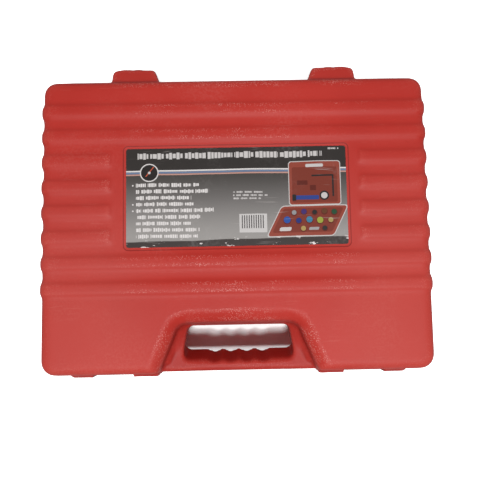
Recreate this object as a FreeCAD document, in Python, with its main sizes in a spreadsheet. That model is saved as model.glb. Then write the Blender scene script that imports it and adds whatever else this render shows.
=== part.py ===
"""Radiator pressure tester kit in its moulded carry case, lying closed on its back.

The case frame has X to the right, Y from the handle to the hinges and Z up. Both
shells meet on the parting plane. Each shell, and what lies in it, is drawn in a frame
of its own whose z = 0 is that plane and whose z grows into the shell; the base shell's
frame is the lid's turned half round about Y. The finished part has its origin at the
bottom centre of its bounding box.
"""

import FreeCAD
import Part
import Sketcher
import math
import os
import re

# Millimetres and degrees. Every size that can be set by itself stands here once.
SIZES = {
    # case shells
    "case_width": 440.0,
    "case_depth": 337.0,
    "half_height": 55.0,
    "side_draft": 2.5,
    "shoulder_radius": 10.0,
    "front_corner_radius": 18.0,
    "rear_corner_radius": 17.0,
    "rim_width": 9.0,
    "tray_drop": 1.0,
    "foot_height": 3.4,
    "foot_length": 44.0,
    "foot_width": 13.0,
    "foot_rear_inset": 3.0,
    "foot_draft": 10.0,
    # ribs that run across the case and down its sides
    "rib_count": 8.0,
    "rib_pitch": 28.8,
    "rib_group_y": 29.3,
    "rib_width": 16.0,
    "rib_height": 2.4,
    "rib_chamfer": 2.3,
    "skin_depth": 4.0,
    # label and its panel
    "label_width": 248.0,
    "label_depth": 112.0,
    "label_x": 1.5,
    "label_thickness": 0.3,
    "label_margin": 3.0,
    "label_recess": 0.8,
    "label_corner": 2.5,
    "panel_half_width": 139.0,
    # carrying handle
    "handle_thickness": 24.0,
    "recess_draft": 10.0,
    "recess_corner": 14.0,
    "plate_front_half": 89.0,
    "plate_rear_half": 66.0,
    "plate_rear": 54.5,
    "hole_front_half": 65.0,
    "hole_rear_half": 58.0,
    "hole_front": 25.0,
    "hole_rear": 53.0,
    "hole_corner": 7.0,
    "hole_rim_break": 2.0,
    "hole_rim_slope": 40.0,
    "scallop_count": 4.0,
    "scallop_pitch": 18.6,
    "scallop_point": 4.0,
    "scallop_radius": 12.0,
    "bead_width": 6.0,
    "bead_height": 3.5,
    "bead_draft": 20.0,
    "bead_inset": 2.0,
    "bead_front_gap": 10.0,
    "grip_edge_radius": 5.0,
    "notch_front_half": 88.0,
    "notch_rear_half": 62.0,
    "notch_rear": 58.0,
    "notch_corner": 12.0,
    # latches
    "latch_x": 143.0,
    "latch_width": 43.5,
    "latch_side_gap": 1.0,
    "latch_plate": 3.2,
    "latch_barrel_radius": 3.4,
    "latch_pin_radius": 1.5,
    "latch_pin_seat": 5.0,
    "latch_axis_z": 19.0,
    "latch_axis_inset": 0.2,
    "latch_drop": 39.4,
    "latch_lip": 9.0,
    "latch_hook": 2.0,
    "latch_flare": 3.0,
    "latch_lip_start": 1.0,
    "latch_lip_round": 1.0,
    "latch_hook_land": 1.2,
    "latch_hook_ramp": 1.5,
    "latch_panel_depth": 0.8,
    "latch_panel_margin": 6.0,
    "latch_panel_high": 11.8,
    "latch_panel_low": 28.4,
    "catch_height": 2.3,
    "catch_land": 2.3,
    "catch_ramp": 3.45,
    "catch_gap": 0.5,
    "catch_width": 36.0,
    "boss_outer": 190.6,
    "boss_inner": 91.4,
    "boss_proud": 3.5,
    "boss_height": 32.0,
    "boss_slope": 6.0,
    "boss_top_inset": 2.0,
    "latch_recess_depth": 6.5,
    "latch_recess_margin": 4.0,
    # hinges
    "tab_outer": 142.0,
    "tab_inner_root": 86.5,
    "tab_inner_tip": 92.5,
    "tab_height": 45.0,
    "tab_tip_height": 39.0,
    "tab_corner": 7.0,
    "tab_embed": 8.0,
    "axis_behind": 10.0,
    "tab_overhang": 6.5,
    "tab_slope_inset": 2.0,
    "lid_swing": 105.0,
    "knuckle_radius": 6.5,
    "knuckle_gap": 0.6,
    "knuckle_relief": 0.7,
    "knuckle_x": 117.0,
    "lid_knuckle_half": 9.0,
    "hinge_pin_radius": 2.0,
    "pin_clearance": 0.08,
    "stiffener_outer_x": 126.0,
    "stiffener_outer_width": 12.0,
    "stiffener_inner_x": 112.0,
    "stiffener_inner_width": 8.0,
    "stiffener_proud": 0.9,
    # kit in the lid: pump and gauge
    "seat_gap": 0.3,
    "pump_y": 127.0,
    "kit_z": 17.0,
    "barrel_radius": 15.0,
    "barrel_bore": 12.6,
    "barrel_left": -152.0,
    "barrel_right": -24.0,
    "end_cap_length": 12.0,
    "end_cap_radius": 16.2,
    "end_cap_chamfer": 1.5,
    "rod_radius": 3.0,
    "rod_clearance": 0.08,
    "piston_radius": 12.5,
    "piston_length": 9.0,
    "piston_groove_half": 1.0,
    "piston_groove_depth": 1.5,
    "piston_x": -40.0,
    "plunger_travel": 12.0,
    "travel_gap": 1.0,
    "handle_x": -188.0,
    "handle_radius": 8.5,
    "handle_half": 29.0,
    "handle_end_taper": 2.0,
    "handle_end_length": 3.0,
    "handle_waist": 1.0,
    "handle_stop_gap": 1.5,
    "handle_stem_radius": 6.5,
    "head_right": 12.0,
    "head_half_width": 13.5,
    "head_half_height": 13.0,
    "head_corner": 3.0,
    "gauge_x": -14.0,
    "gauge_y": 76.0,
    "gauge_radius": 28.0,
    "gauge_front": 4.0,
    "gauge_depth": 30.0,
    "gauge_wall": 1.6,
    "boot_wall": 4.0,
    "boot_lip": 2.0,
    "boot_chamfer": 1.5,
    "stem_embed": 3.0,
    "dial_depth": 5.0,
    "dial_thickness": 0.8,
    "needle_length": 19.0,
    "needle_tail": 6.0,
    "needle_thickness": 0.6,
    "needle_gap": 0.5,
    "needle_post": 1.2,
    "needle_post_seat": 2.4,
    "needle_post_hole": 3.6,
    "needle_tail_half": 1.9,
    "needle_tip_half": 0.5,
    "needle_rest_angle": 135.0,
    "lens_thickness": 1.6,
    "stem_radius": 5.5,
    "valve_x": -4.0,
    "valve_radius": 4.0,
    "valve_head_radius": 5.2,
    "valve_proud": 3.0,
    "valve_travel": 2.0,
    "valve_depth": 8.0,
    "coupler_length": 24.0,
    "coupler_radius": 6.5,
    "coupler_collar": 9.0,
    "coupler_collar_length": 5.0,
    "coupler_chamfer": 1.0,
    "sleeve_radius": 9.5,
    "sleeve_length": 10.4,
    "sleeve_chamfer": 0.8,
    # hoses and tee
    "hose_radius": 5.5,
    "hose_bend": 30.0,
    "hose_right": 180.0,
    "hose_left": -182.0,
    "hose_end_y": 40.0,
    "ferrule_radius": 7.5,
    "ferrule_length": 18.0,
    "ferrule_grip": 10.0,
    "ferrule_bore_gap": 0.05,
    "ferrule_chamfer": 1.0,
    "tee_y": -88.0,
    "tee_x": 23.0,
    "tee_half": 31.0,
    "tee_radius": 8.5,
    "tee_branch": 26.0,
    "tee_branch_radius": 6.5,
    "tee_nut_length": 10.0,
    "tee_nut_step": 2.0,
    "tee_chamfer": 1.0,
    # kit in the base: caps and adapters
    "well_depth": 34.0,
    "cap_neck_height": 9.0,
    "cap_grip": 8.0,
    "cap_dish": 1.5,
    "cap_boss_radius": 9.0,
    "cap_boss_rise": 3.0,
    "cap_notch": 2.2,
    "cap_notches": 10.0,
    "nipple_base": 6.0,
    "nipple_neck": 3.6,
    "nipple_head": 4.4,
    "nipple_height": 11.0,
    "nipple_base_height": 3.7,
    "nipple_neck_height": 7.7,
    "nipple_flare": 0.6,
    "nipple_dome": 0.5,
    "seal_thickness": 2.0,
    "seal_width": 3.0,
    "long_adapter_x": -170.0,
    "long_adapter_y": -72.0,
    "long_adapter_radius": 17.0,
    "long_adapter_length": 76.0,
    "long_adapter_left": 14.0,
    "long_adapter_right": 22.0,
    "short_adapter_x": 140.0,
    "short_adapter_y": -124.0,
    "short_adapter_radius": 19.0,
    "short_adapter_height": 28.0,
    "short_adapter_flange": 10.0,
    "adapter_wall": 2.5,
    "spare_well_x": -62.0,
    "spare_well_y": -56.0,
    "spare_well_length": 70.0,
    "spare_well_width": 26.0,
    "spare_well_depth": 14.0,
}

# The test caps: place in the base, grip radius, and radius of the neck that enters a filler.
CAPS = {
    "grey": (-152, 128, 21, 14),
    "purple": (-88, 126, 24, 18),
    "rear_black": (44, 124, 21, 15),
    "brown": (104, 122, 23, 17),
    "dark_green": (165, 122, 24, 17),
    "brass": (-166, 80, 20, 14),
    "charcoal": (-92, 68, 22, 16),
    "brass_white": (150, 58, 27, 20),
    "blue": (-160, 18, 32, 25),
    "dark_blue": (-88, 8, 25, 18),
    "cyan": (-14, 4, 27, 20),
    "yellow_green": (66, 2, 28, 21),
    "wide_brass": (48, -62, 22, 16),
    "front_black": (152, -50, 25, 19),
}
for name, (x, y, radius, neck) in CAPS.items():
    SIZES.update({f"cap_{name}_x": x, f"cap_{name}_y": y})
    SIZES.update({f"cap_{name}_radius": radius, f"cap_{name}_neck": neck})

doc = FreeCAD.newDocument("radiator_pressure_tester")
sheet = doc.addObject("Spreadsheet::Sheet", "Sizes")
for row, (alias, amount) in enumerate(SIZES.items(), start=1):
    sheet.set(f"A{row}", alias)
    sheet.set(f"B{row}", str(amount))
    sheet.setAlias(f"B{row}", alias)
doc.recompute()


def bind(text):
    """An expression of size names, written as references to the sheet."""
    return re.sub(r"\b[a-z]\w*", lambda word: f"Sizes.{word[0]}" if word[0] in SIZES else word[0], str(text))


def size(text):
    """The number that an expression of size names has now."""
    amount = sheet.evalExpression(bind(text))
    return float(getattr(amount, "Value", amount))


def new_body(label):
    body = doc.addObject("PartDesign::Body", label)
    body.Label = label
    return body


def new_sketch(body, name, role, offset="0"):
    """A sketch on one of the body's own planes, moved along the plane's normal."""
    sketch = body.newObject("Sketcher::SketchObject", name)
    plane = [item for item in body.Origin.OriginFeatures if item.Role == role][0]
    sketch.AttachmentSupport = [(plane, "")]
    sketch.MapMode = "FlatFace"
    sketch.setExpression("AttachmentOffset.Base.z", bind(offset))
    return sketch


def own_axis(body, role):
    """One of the body's own axes, as a direction for a pattern."""
    return ([item for item in body.Origin.OriginFeatures if item.Role == role][0], [""])


def hold(sketch, element, x, y):
    """Tie one point of a sketch, given as (geometry, point), to two expressions."""
    for kind, text in (("DistanceX", x), ("DistanceY", y)):
        index = sketch.addConstraint(Sketcher.Constraint(kind, -1, 1, *element, size(text)))
        sketch.setExpression(f"Constraints[{index}]", bind(text))


def hold_radius(sketch, element, text):
    index = sketch.addConstraint(Sketcher.Constraint("Radius", element, size(text)))
    sketch.setExpression(f"Constraints[{index}]", bind(text))


def unit(start, end):
    length = math.dist(start, end)
    return ((end[0] - start[0]) / length, (end[1] - start[1]) / length)


def rounded(before, corner, after, radius):
    """Where an arc leaves the two lines of a corner, its centre and its turn."""
    back = unit(corner, before)
    ahead = unit(corner, after)
    half = math.acos(max(-1.0, min(1.0, back[0] * ahead[0] + back[1] * ahead[1]))) / 2
    reach = radius / math.tan(half)
    middle = unit((0, 0), (back[0] + ahead[0], back[1] + ahead[1]))
    depth = radius / math.sin(half)
    enter = (corner[0] + back[0] * reach, corner[1] + back[1] * reach)
    leave = (corner[0] + ahead[0] * reach, corner[1] + ahead[1] * reach)
    centre = (corner[0] + middle[0] * depth, corner[1] + middle[1] * depth)
    turns_left = ahead[0] * back[1] - ahead[1] * back[0] > 0
    return enter, leave, centre, turns_left


def draw(sketch, corners, closed=True):
    """Lines through the corners (x, y) or (x, y, radius), each an expression."""
    places = [(size(c[0]), size(c[1])) for c in corners]
    count = len(corners)
    ends = []
    for i, corner in enumerate(corners):
        if len(corner) == 3:
            ends.append(rounded(places[i - 1], places[i], places[(i + 1) % count], size(corner[2])))
        else:
            ends.append((places[i], places[i], None, None))
    lines = []
    for i in range(count if closed else count - 1):
        start = FreeCAD.Vector(*ends[i][1], 0)
        end = FreeCAD.Vector(*ends[(i + 1) % count][0], 0)
        lines.append(sketch.addGeometry(Part.LineSegment(start, end), False))
    for i, corner in enumerate(corners):
        enter, leave, centre, turns_left = ends[i]
        before = lines[i - 1] if closed or i > 0 else None
        after = lines[i] if i < len(lines) else None
        if centre is None:
            if before is not None and after is not None:
                sketch.addConstraint(Sketcher.Constraint("Coincident", before, 2, after, 1))
            element = (after, 1) if after is not None else (before, 2)
            hold(sketch, element, corner[0], corner[1])
            continue
        circle = Part.Circle(FreeCAD.Vector(*centre, 0), FreeCAD.Vector(0, 0, 1), size(corner[2]))
        first, last = (enter, leave) if turns_left else (leave, enter)
        angles = [math.atan2(p[1] - centre[1], p[0] - centre[0]) for p in (first, last)]
        arc = sketch.addGeometry(Part.ArcOfCircle(circle, angles[0], angles[1]), False)
        mark = sketch.addGeometry(Part.Point(FreeCAD.Vector(*places[i], 0)), True)
        sketch.addConstraint(Sketcher.Constraint("Tangent", before, 2, arc, 1 if turns_left else 2))
        sketch.addConstraint(Sketcher.Constraint("Tangent", after, 1, arc, 2 if turns_left else 1))
        sketch.addConstraint(Sketcher.Constraint("PointOnObject", mark, 1, before))
        sketch.addConstraint(Sketcher.Constraint("PointOnObject", mark, 1, after))
        hold(sketch, (mark, 1), corner[0], corner[1])
        hold_radius(sketch, arc, corner[2])
    return sketch


def draw_circle(sketch, x, y, radius):
    circle = Part.Circle(FreeCAD.Vector(size(x), size(y), 0), FreeCAD.Vector(0, 0, 1), size(radius))
    index = sketch.addGeometry(circle, False)
    hold(sketch, (index, 3), x, y)
    hold_radius(sketch, index, radius)
    return sketch


def feature(body, kind, name, profile, **sizes):
    """A PartDesign feature made from a sketch, its sizes tied to expressions."""
    made = body.newObject(f"PartDesign::{kind}", name)
    made.Profile = profile
    for key, text in sizes.items():
        made.setExpression(key, bind(text))
    made.Refine = False
    body.Tip = made
    return made


def pad(body, name, sketch, length, **sizes):
    return feature(body, "Pad", name, sketch, Length=length, **sizes)


def pocket(body, name, sketch, length, **sizes):
    return feature(body, "Pocket", name, sketch, Length=length, **sizes)


def revolve(body, name, sketch, kind="Revolution", axis="V_Axis"):
    """Turn a sketch all the way round one of its own axes."""
    made = feature(body, kind, name, sketch)
    made.ReferenceAxis = (sketch, [axis])
    made.Angle = 360
    return made


def edges_where(shape, wanted):
    return [f"Edge{i}" for i, edge in enumerate(shape.Edges, start=1) if wanted(edge)]


def dress(body, kind, name, amount, wanted):
    """A fillet or chamfer on the edges of the body's tip that are wanted."""
    doc.recompute()
    base = body.Tip
    made = body.newObject(f"PartDesign::{kind}", name)
    made.Base = (base, edges_where(base.Shape, wanted))
    made.setExpression("Radius" if kind == "Fillet" else "Size", bind(amount))
    body.Tip = made
    return made


def place(body, x="0", y="0", z="0", turn=None):
    """Set a sub-part in the case frame: x, y from its middle, z from the parting plane."""
    if turn:
        body.Placement = FreeCAD.Placement(FreeCAD.Vector(), FreeCAD.Rotation(*turn))
    body.setExpression("Placement.Base.x", bind(x))
    body.setExpression("Placement.Base.y", bind(f"({y}) + {SHIFT_Y}"))
    body.setExpression("Placement.Base.z", bind(f"({z}) + {PARTING_Z}"))
    return body


def rectangle(x_low, x_high, y_low, y_high, radius=None):
    corners = [(x_low, y_low), (x_high, y_low), (x_high, y_high), (x_low, y_high)]
    return [(*corner, radius) for corner in corners] if radius else corners


def mirrored(corners, side):
    """Corners drawn for the right side, or turned over to the left, kept in order."""
    if side > 0:
        return corners
    return [(f"-({c[0]})", *c[1:]) for c in reversed(corners)]


# How far a cutting tool runs on past the material: a long way, as a rule, and a little.
RUN_OUT = "20"
OVERSHOOT = "5"
NUDGE = "1"

# How near two places count as the same when edges are picked.
SAME = 1e-6

# Places that follow from the sizes, as expressions.
HALF_X = "case_width/2"
HALF_Y = "case_depth/2"
PARTING_Z = "(foot_height + half_height)"
SHIFT_Y = "((boss_proud - axis_behind - tab_overhang - stiffener_proud)/2)"
FIRST_RIB_Y = "(rib_group_y - rib_pitch*(rib_count - 1)/2)"
HINGE_Y = "(case_depth/2 + axis_behind)"
LATCH_Y = "(-case_depth/2 + latch_axis_inset)"
LATCH_FLOOR_Y = "(-case_depth/2 + latch_recess_depth)"
BOOT_RADIUS = "(gauge_radius + boot_wall)"
GAUGE_BORE = "(gauge_radius - gauge_wall)"
GAUGE_BACK = "(gauge_front + gauge_depth)"
DIAL_BACK = "(gauge_front + dial_depth)"
DIAL_FACE = "(gauge_front + dial_depth - dial_thickness)"
COUPLER_END = "(head_right + coupler_length)"
HOSE_1_START = "(head_right + coupler_length + ferrule_length - ferrule_grip)"
HOSE_1_END = "(tee_x + tee_half + ferrule_length - ferrule_grip)"
HOSE_2_START = "(tee_x - tee_half - ferrule_length + ferrule_grip)"
HOSE_2_END = "(hose_end_y - ferrule_grip + ferrule_length)"
LATCH_LOW = "(latch_x - latch_width/2 - latch_side_gap)"
LATCH_HIGH = "(latch_x + latch_width/2 + latch_side_gap)"
CAP_TOP = "(cap_neck_height + cap_grip - cap_dish + cap_boss_rise)"
WELL_FLOOR = "-well_depth"


def half_width_at(height):
    """Half the shell's width at a height over the parting plane."""
    return f"({HALF_X} - ({height})*tan(side_draft*1deg))"


def shell_blank(body):
    """A drafted dish, still solid and with sharp shoulders."""
    sketch = new_sketch(body, "outline", "XY_Plane")
    front, rear = "front_corner_radius", "rear_corner_radius"
    corners = [(f"-{HALF_X}", f"-{HALF_Y}", front), (HALF_X, f"-{HALF_Y}", front),
               (HALF_X, HALF_Y, rear), (f"-{HALF_X}", HALF_Y, rear)]
    pad(body, "blank", draw(sketch, corners), "half_height", TaperAngle="-side_draft")


def shoulder(body):
    """Rounds every edge that the shell has at its full height."""
    top = size("half_height")
    dress(body, "Fillet", "shoulder", "shoulder_radius",
          lambda edge: all(abs(v.Z - top) < SAME for v in edge.Vertexes))


def rib_band(body):
    """The outline of one rib: a U-shaped strip over the top and down both sides."""
    start = f"-{OVERSHOOT}"
    top = half_width_at("half_height")
    outer = [(f"({half_width_at(start)} + rib_height)", start),
             (f"({top} + rib_height)", "half_height + rib_height", "shoulder_radius + rib_height")]
    inner = [(f"({half_width_at(start)} - skin_depth)", start),
             (f"({top} - skin_depth)", "half_height - skin_depth", "shoulder_radius - skin_depth")]
    right = outer[::-1] + inner
    left = [(f"-{c[0]}", *c[1:]) for c in reversed(right)]
    return draw(new_sketch(body, "rib_band", "XZ_Plane", f"-{FIRST_RIB_Y}"), right + left)


def ribs(body):
    """Equal ribs along the case, each with its crown's edges broken."""
    band = pad(body, "rib", rib_band(body), "rib_width")
    band.Midplane = True
    row = body.newObject("PartDesign::LinearPattern", "ribs")
    row.Originals = [band]
    row.Direction = own_axis(body, "Y_Axis")
    row.setExpression("Length", bind("rib_pitch*(rib_count - 1)"))
    row.setExpression("Occurrences", bind("rib_count"))
    body.Tip = row
    crown = size("half_height + rib_height")
    bend = size("shoulder_radius + rib_height")
    lean = math.tan(math.radians(size("side_draft")))
    wall = size(f"{HALF_X} + rib_height/2")

    def is_crown_edge(edge):
        ends = [v.Y for v in edge.Vertexes]
        if len(ends) < 2 or abs(ends[0] - ends[1]) > SAME:
            return False
        if edge.Curve.TypeId == "Part::GeomCircle":
            return abs(edge.Curve.Radius - bend) < SAME
        middle = edge.CenterOfMass
        on_top = abs(middle.z - crown) < SAME
        on_side = edge.Length > size("half_height")/2 and abs(middle.x) > wall - middle.z*lean
        return on_top or on_side

    dress(body, "Chamfer", "rib_edges", "rib_chamfer", is_crown_edge)
    below = new_sketch(body, "under_parting", "XY_Plane")
    wide = f"({HALF_X} + {OVERSHOOT})"
    draw(below, rectangle(f"-{wide}", wide, f"-{HALF_Y}", HALF_Y))
    pocket(body, "parting_face", below, "half_height")


def along_x(body, kind, name, draw_profile, x_low, x_high, side=1):
    """A Pad or Pocket between two x places of a profile in the YZ plane."""
    low, high = (x_low, x_high) if side > 0 else (f"-({x_high})", f"-({x_low})")
    start = low if kind == "Pad" else high
    sketch = new_sketch(body, f"{name}_profile", "YZ_Plane", start)
    draw_profile(sketch)
    return feature(body, kind, name, sketch, Length=f"({high}) - ({low})")


def level_sketch(body, name, height):
    return new_sketch(body, name, "XY_Plane", height)


def sink(body, name, sketch_at, depth, **sizes):
    """A pocket cut from the parting face into the shell, its sketch drawn at its floor."""
    sketch = level_sketch(body, f"{name}_outline", depth)
    sketch_at(sketch)
    return pocket(body, name, sketch, f"({depth}) + {OVERSHOOT}", **sizes)


def latch_bosses(body, side):
    """The thick blocks that flank a latch, and the hollow that parts them."""
    front = f"(-{HALF_Y} - boss_proud)"
    inside = f"(-{HALF_Y} + tab_embed)"
    block = [(inside, "0"), (front, "0"), (front, "boss_height - boss_slope"),
             (f"-{HALF_Y} + boss_top_inset", "boss_height"), (inside, "boss_height")]
    name = "right" if side > 0 else "left"
    along_x(body, "Pad", f"boss_{name}", lambda s: draw(s, block), "boss_inner", "boss_outer", side)
    above = "boss_height + latch_recess_margin"
    hollow = rectangle(f"{front} - {OVERSHOOT}", LATCH_FLOOR_Y, f"-{OVERSHOOT}", above)
    along_x(body, "Pocket", f"latch_hollow_{name}", lambda s: draw(s, hollow), LATCH_LOW, LATCH_HIGH, side)


def hinge_tab(body, side):
    """One strap behind the shell, cut back to the plane that stops the lid."""
    name = "right" if side > 0 else "left"
    rear = f"({HINGE_Y} + tab_overhang)"
    root = f"({HALF_Y} - tab_embed)"
    plan = [("tab_inner_root", root), ("tab_outer", root), ("tab_outer", rear, "tab_corner"),
            ("tab_inner_tip", rear, "tab_corner/2"), ("tab_inner_root", HALF_Y)]
    sketch = draw(level_sketch(body, f"tab_plan_{name}", "0"), mirrored(plan, side))
    pad(body, f"tab_{name}", sketch, "tab_height")
    for end in ("outer", "inner"):
        half = f"stiffener_{end}_width/2"
        rib = rectangle(f"stiffener_{end}_x - {half}", f"stiffener_{end}_x + {half}",
                        f"{rear} - {NUDGE}", f"{rear} + stiffener_proud")
        label = f"stiffener_{name}_{end}"
        sketch = draw(level_sketch(body, f"{label}_plan", "0"), mirrored(rib, side))
        pad(body, label, sketch, "tab_tip_height")
    above = f"tab_height + {OVERSHOOT}"
    beyond = f"{rear} + {OVERSHOOT}"
    start = f"{HALF_Y} - tab_slope_inset"
    fall = "(tab_height - tab_tip_height)/(axis_behind + tab_overhang + tab_slope_inset)"
    slope = [(start, "tab_height"), (beyond, f"tab_tip_height - {OVERSHOOT}*{fall}"),
             (beyond, above), (start, above)]
    low = f"tab_inner_root - {NUDGE}"
    high = f"tab_outer + {NUDGE}"
    along_x(body, "Pocket", f"tab_slope_{name}", lambda s: draw(s, slope), low, high, side)
    reach = f"(tab_overhang + {OVERSHOOT})"
    stop = [(HINGE_Y, f"-{OVERSHOOT}"), (f"{HINGE_Y} + {reach}", f"-{OVERSHOOT}"),
            (f"{HINGE_Y} + {reach}", f"{reach}*tan(lid_swing/2*1deg)"), (HINGE_Y, "0")]
    along_x(body, "Pocket", f"tab_stop_{name}", lambda s: draw(s, stop), low, high, side)


def hinge_round(body, kind, name, radius, x_low, x_high, side):
    def profile(sketch):
        draw_circle(sketch, HINGE_Y, "0", radius)
    return along_x(body, kind, f"{name}_{'right' if side > 0 else 'left'}", profile, x_low, x_high, side)


def knuckles(body, side, of_lid):
    """The lid has the middle knuckle of each hinge and the base the outer two."""
    relief = "knuckle_radius + knuckle_relief"
    low = "knuckle_x - lid_knuckle_half"
    high = "knuckle_x + lid_knuckle_half"
    end = f"tab_outer + {NUDGE}"
    if of_lid:
        hinge_round(body, "Pocket", "relief_inner", relief, f"tab_inner_root - {NUDGE}", low, side)
        hinge_round(body, "Pocket", "relief_outer", relief, high, end, side)
        hinge_round(body, "Pad", "knuckle", "knuckle_radius", low, high, side)
    else:
        low = f"{low} - knuckle_gap"
        high = f"{high} + knuckle_gap"
        hinge_round(body, "Pocket", "relief", relief, low, high, side)
        hinge_round(body, "Pad", "knuckle_inner", "knuckle_radius", "tab_inner_tip", low, side)
        hinge_round(body, "Pad", "knuckle_outer", "knuckle_radius", high, "tab_outer", side)
    bore = "hinge_pin_radius + pin_clearance"
    hinge_round(body, "Pocket", "pin_hole", bore, "tab_inner_root", end, side)


def label_panel(body):
    """Cuts the middle ribs back to a flat field and sinks the label's bed in it."""
    top = f"half_height + rib_height + {OVERSHOOT}"
    slant = f"(rib_height + {OVERSHOOT})"
    field = [("-panel_half_width", "half_height"), ("panel_half_width", "half_height"),
             (f"panel_half_width + {slant}", top), (f"-panel_half_width - {slant}", top)]
    sketch = draw(new_sketch(body, "panel_profile", "XZ_Plane", "-rib_group_y"), field)
    cut = pocket(body, "label_panel", sketch, "rib_pitch*5 - rib_width")
    cut.Midplane = True
    half_x = "(label_width/2 + label_margin)"
    low = "rib_group_y - label_depth/2 - label_margin"
    high = "rib_group_y + label_depth/2 + label_margin"
    bed = rectangle(f"label_x - {half_x}", f"label_x + {half_x}", low, high, "label_corner + label_margin")
    sketch = draw(level_sketch(body, "label_bed_outline", "half_height"), bed)
    pocket(body, "label_bed", sketch, "label_recess")


def from_front(distance):
    return f"(-{HALF_Y} + {distance})"


def handle_outline(front_half, rear_half, rear, corner):
    """A trapezium that runs on past the front wall at its own slant."""
    flare = f"({front_half} + {RUN_OUT}*({front_half} - {rear_half})/{rear})"
    front = from_front(f"-{RUN_OUT}")
    back = from_front(rear)
    return [(f"-{flare}", front), (flare, front), (rear_half, back, corner), (f"-{rear_half}", back, corner)]


def handle_plate(body):
    """Sinks the front of the lid down to the handle's plate, with leaning walls."""
    plate = draw(level_sketch(body, "plate_outline", "handle_thickness"),
                 handle_outline("plate_front_half", "plate_rear_half", "plate_rear", "recess_corner"))
    recess = pocket(body, "handle_recess", plate, "half_height - handle_thickness", TaperAngle="-recess_draft")
    recess.Reversed = True


def hole_outline(grow):
    """The hand hole's trapezium, moved outwards by an amount."""
    front = from_front(f"hole_front - {grow}")
    rear = from_front(f"hole_rear + {grow}")
    corner = f"hole_corner + {grow}"
    return [(f"-(hole_front_half + {grow})", front, corner), (f"hole_front_half + {grow}", front, corner),
            (f"hole_rear_half + {grow}", rear, corner), (f"-(hole_rear_half + {grow})", rear, corner)]


def hand_hole(body):
    """The hole behind the grip, with a broken rim and one hollow for each finger."""
    deep = f"handle_thickness + {OVERSHOOT}"
    for name, grow, depth, draft in (("hand_hole", "0", deep, "0"),
                                     ("hole_rim", "hole_rim_break", "hole_rim_break", "-hole_rim_slope")):
        sketch = draw(level_sketch(body, f"{name}_outline", "handle_thickness"), hole_outline(grow))
        pocket(body, name, sketch, depth, TaperAngle=draft)
    front = from_front("hole_front")
    start = "(-scallop_pitch*scallop_count/2)"
    finger = [(start, f"{front} + {NUDGE}"), (start, front),
              (f"{start} + scallop_pitch/2", f"{front} - scallop_point", "scallop_radius"),
              (f"{start} + scallop_pitch", front), (f"{start} + scallop_pitch", f"{front} + {NUDGE}")]
    sketch = draw(level_sketch(body, "finger_hollow_outline", "handle_thickness"), finger)
    hollow = pocket(body, "finger_hollow", sketch, deep)
    row = body.newObject("PartDesign::LinearPattern", "finger_hollows")
    row.Originals = [hollow]
    row.Direction = own_axis(body, "X_Axis")
    row.setExpression("Length", bind("scallop_pitch*(scallop_count - 1)"))
    row.setExpression("Occurrences", bind("scallop_count"))
    body.Tip = row


def grip_edge(body):
    """Rounds the plate's front edge, where the palm lies."""
    start_z = f"(handle_thickness - grip_edge_radius - {NUDGE})"
    above = f"handle_thickness + {OVERSHOOT}"
    wall = f"(-{HALF_Y} + {start_z}*tan(side_draft*1deg))"
    inner = f"({wall} + grip_edge_radius + {NUDGE})"
    outside = f"{wall} - {OVERSHOOT}"
    spandrel = [(outside, start_z), (wall, start_z), (wall, "handle_thickness", "grip_edge_radius"),
                (inner, "handle_thickness"), (inner, above), (outside, above)]
    half = f"plate_front_half - {NUDGE}"
    along_x(body, "Pocket", "grip_edge", lambda s: draw(s, spandrel), f"-({half})", half)


def plate_beads(body):
    """A raised bead down each slanted side of the plate."""
    slant = "((plate_front_half - plate_rear_half)/plate_rear)"
    rear_x = f"(plate_rear_half - bead_width/2 + {slant}*bead_inset)"
    front_x = f"(plate_front_half - bead_width/2 - {slant}*bead_front_gap)"
    rear_y = from_front("plate_rear - bead_inset")
    front_y = from_front("bead_front_gap")
    line = [(f"{rear_x} - bead_width/2", rear_y), (f"{front_x} - bead_width/2", front_y),
            (f"{front_x} + bead_width/2", front_y), (f"{rear_x} + bead_width/2", rear_y)]
    for side, name in ((1, "right"), (-1, "left")):
        sketch = level_sketch(body, f"bead_outline_{name}", f"handle_thickness - {NUDGE}")
        draw(sketch, mirrored(line, side))
        pad(body, f"bead_{name}", sketch, f"bead_height + {NUDGE}", TaperAngle="-bead_draft")


def tray(body):
    """Lowers the tray a little inside the rim, leaving the handle's surroundings whole."""
    half_x = f"({HALF_X} - rim_width)"
    half_y = f"({HALF_Y} - rim_width)"
    outer = "(plate_front_half + rim_width)"
    inner = "(plate_rear_half + rim_width)"
    rear = from_front("plate_rear + rim_width")
    right = [(outer, f"-{half_y}"), (half_x, f"-{half_y}"), (half_x, half_y)]
    left = [(f"-{half_x}", half_y), (f"-{half_x}", f"-{half_y}"), (f"-{outer}", f"-{half_y}")]
    rest = [(f"-{inner}", rear), (inner, rear)]
    sink(body, "tray", lambda s: draw(s, right + left + rest), "tray_drop")


def channel(body, name, radius, centre, low, high, along="x"):
    """A round-bottomed groove in the tray for a round piece that lies along x or y."""
    wide = f"({radius} + seat_gap)"
    deep = f"(kit_z + {wide})"
    bottom = f"({wide} - seat_gap)"
    profile = [(f"{centre} - {wide}", f"-{OVERSHOOT}"), (f"{centre} + {wide}", f"-{OVERSHOOT}"),
               (f"{centre} + {wide}", deep, bottom), (f"{centre} - {wide}", deep, bottom)]
    if along == "x":
        return along_x(body, "Pocket", name, lambda s: draw(s, profile), low, high)
    sketch = draw(new_sketch(body, f"{name}_profile", "XZ_Plane", f"-(({low}) + ({high}))/2"), profile)
    cut = pocket(body, name, sketch, f"({high}) - ({low})")
    cut.Midplane = True
    return cut


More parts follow.
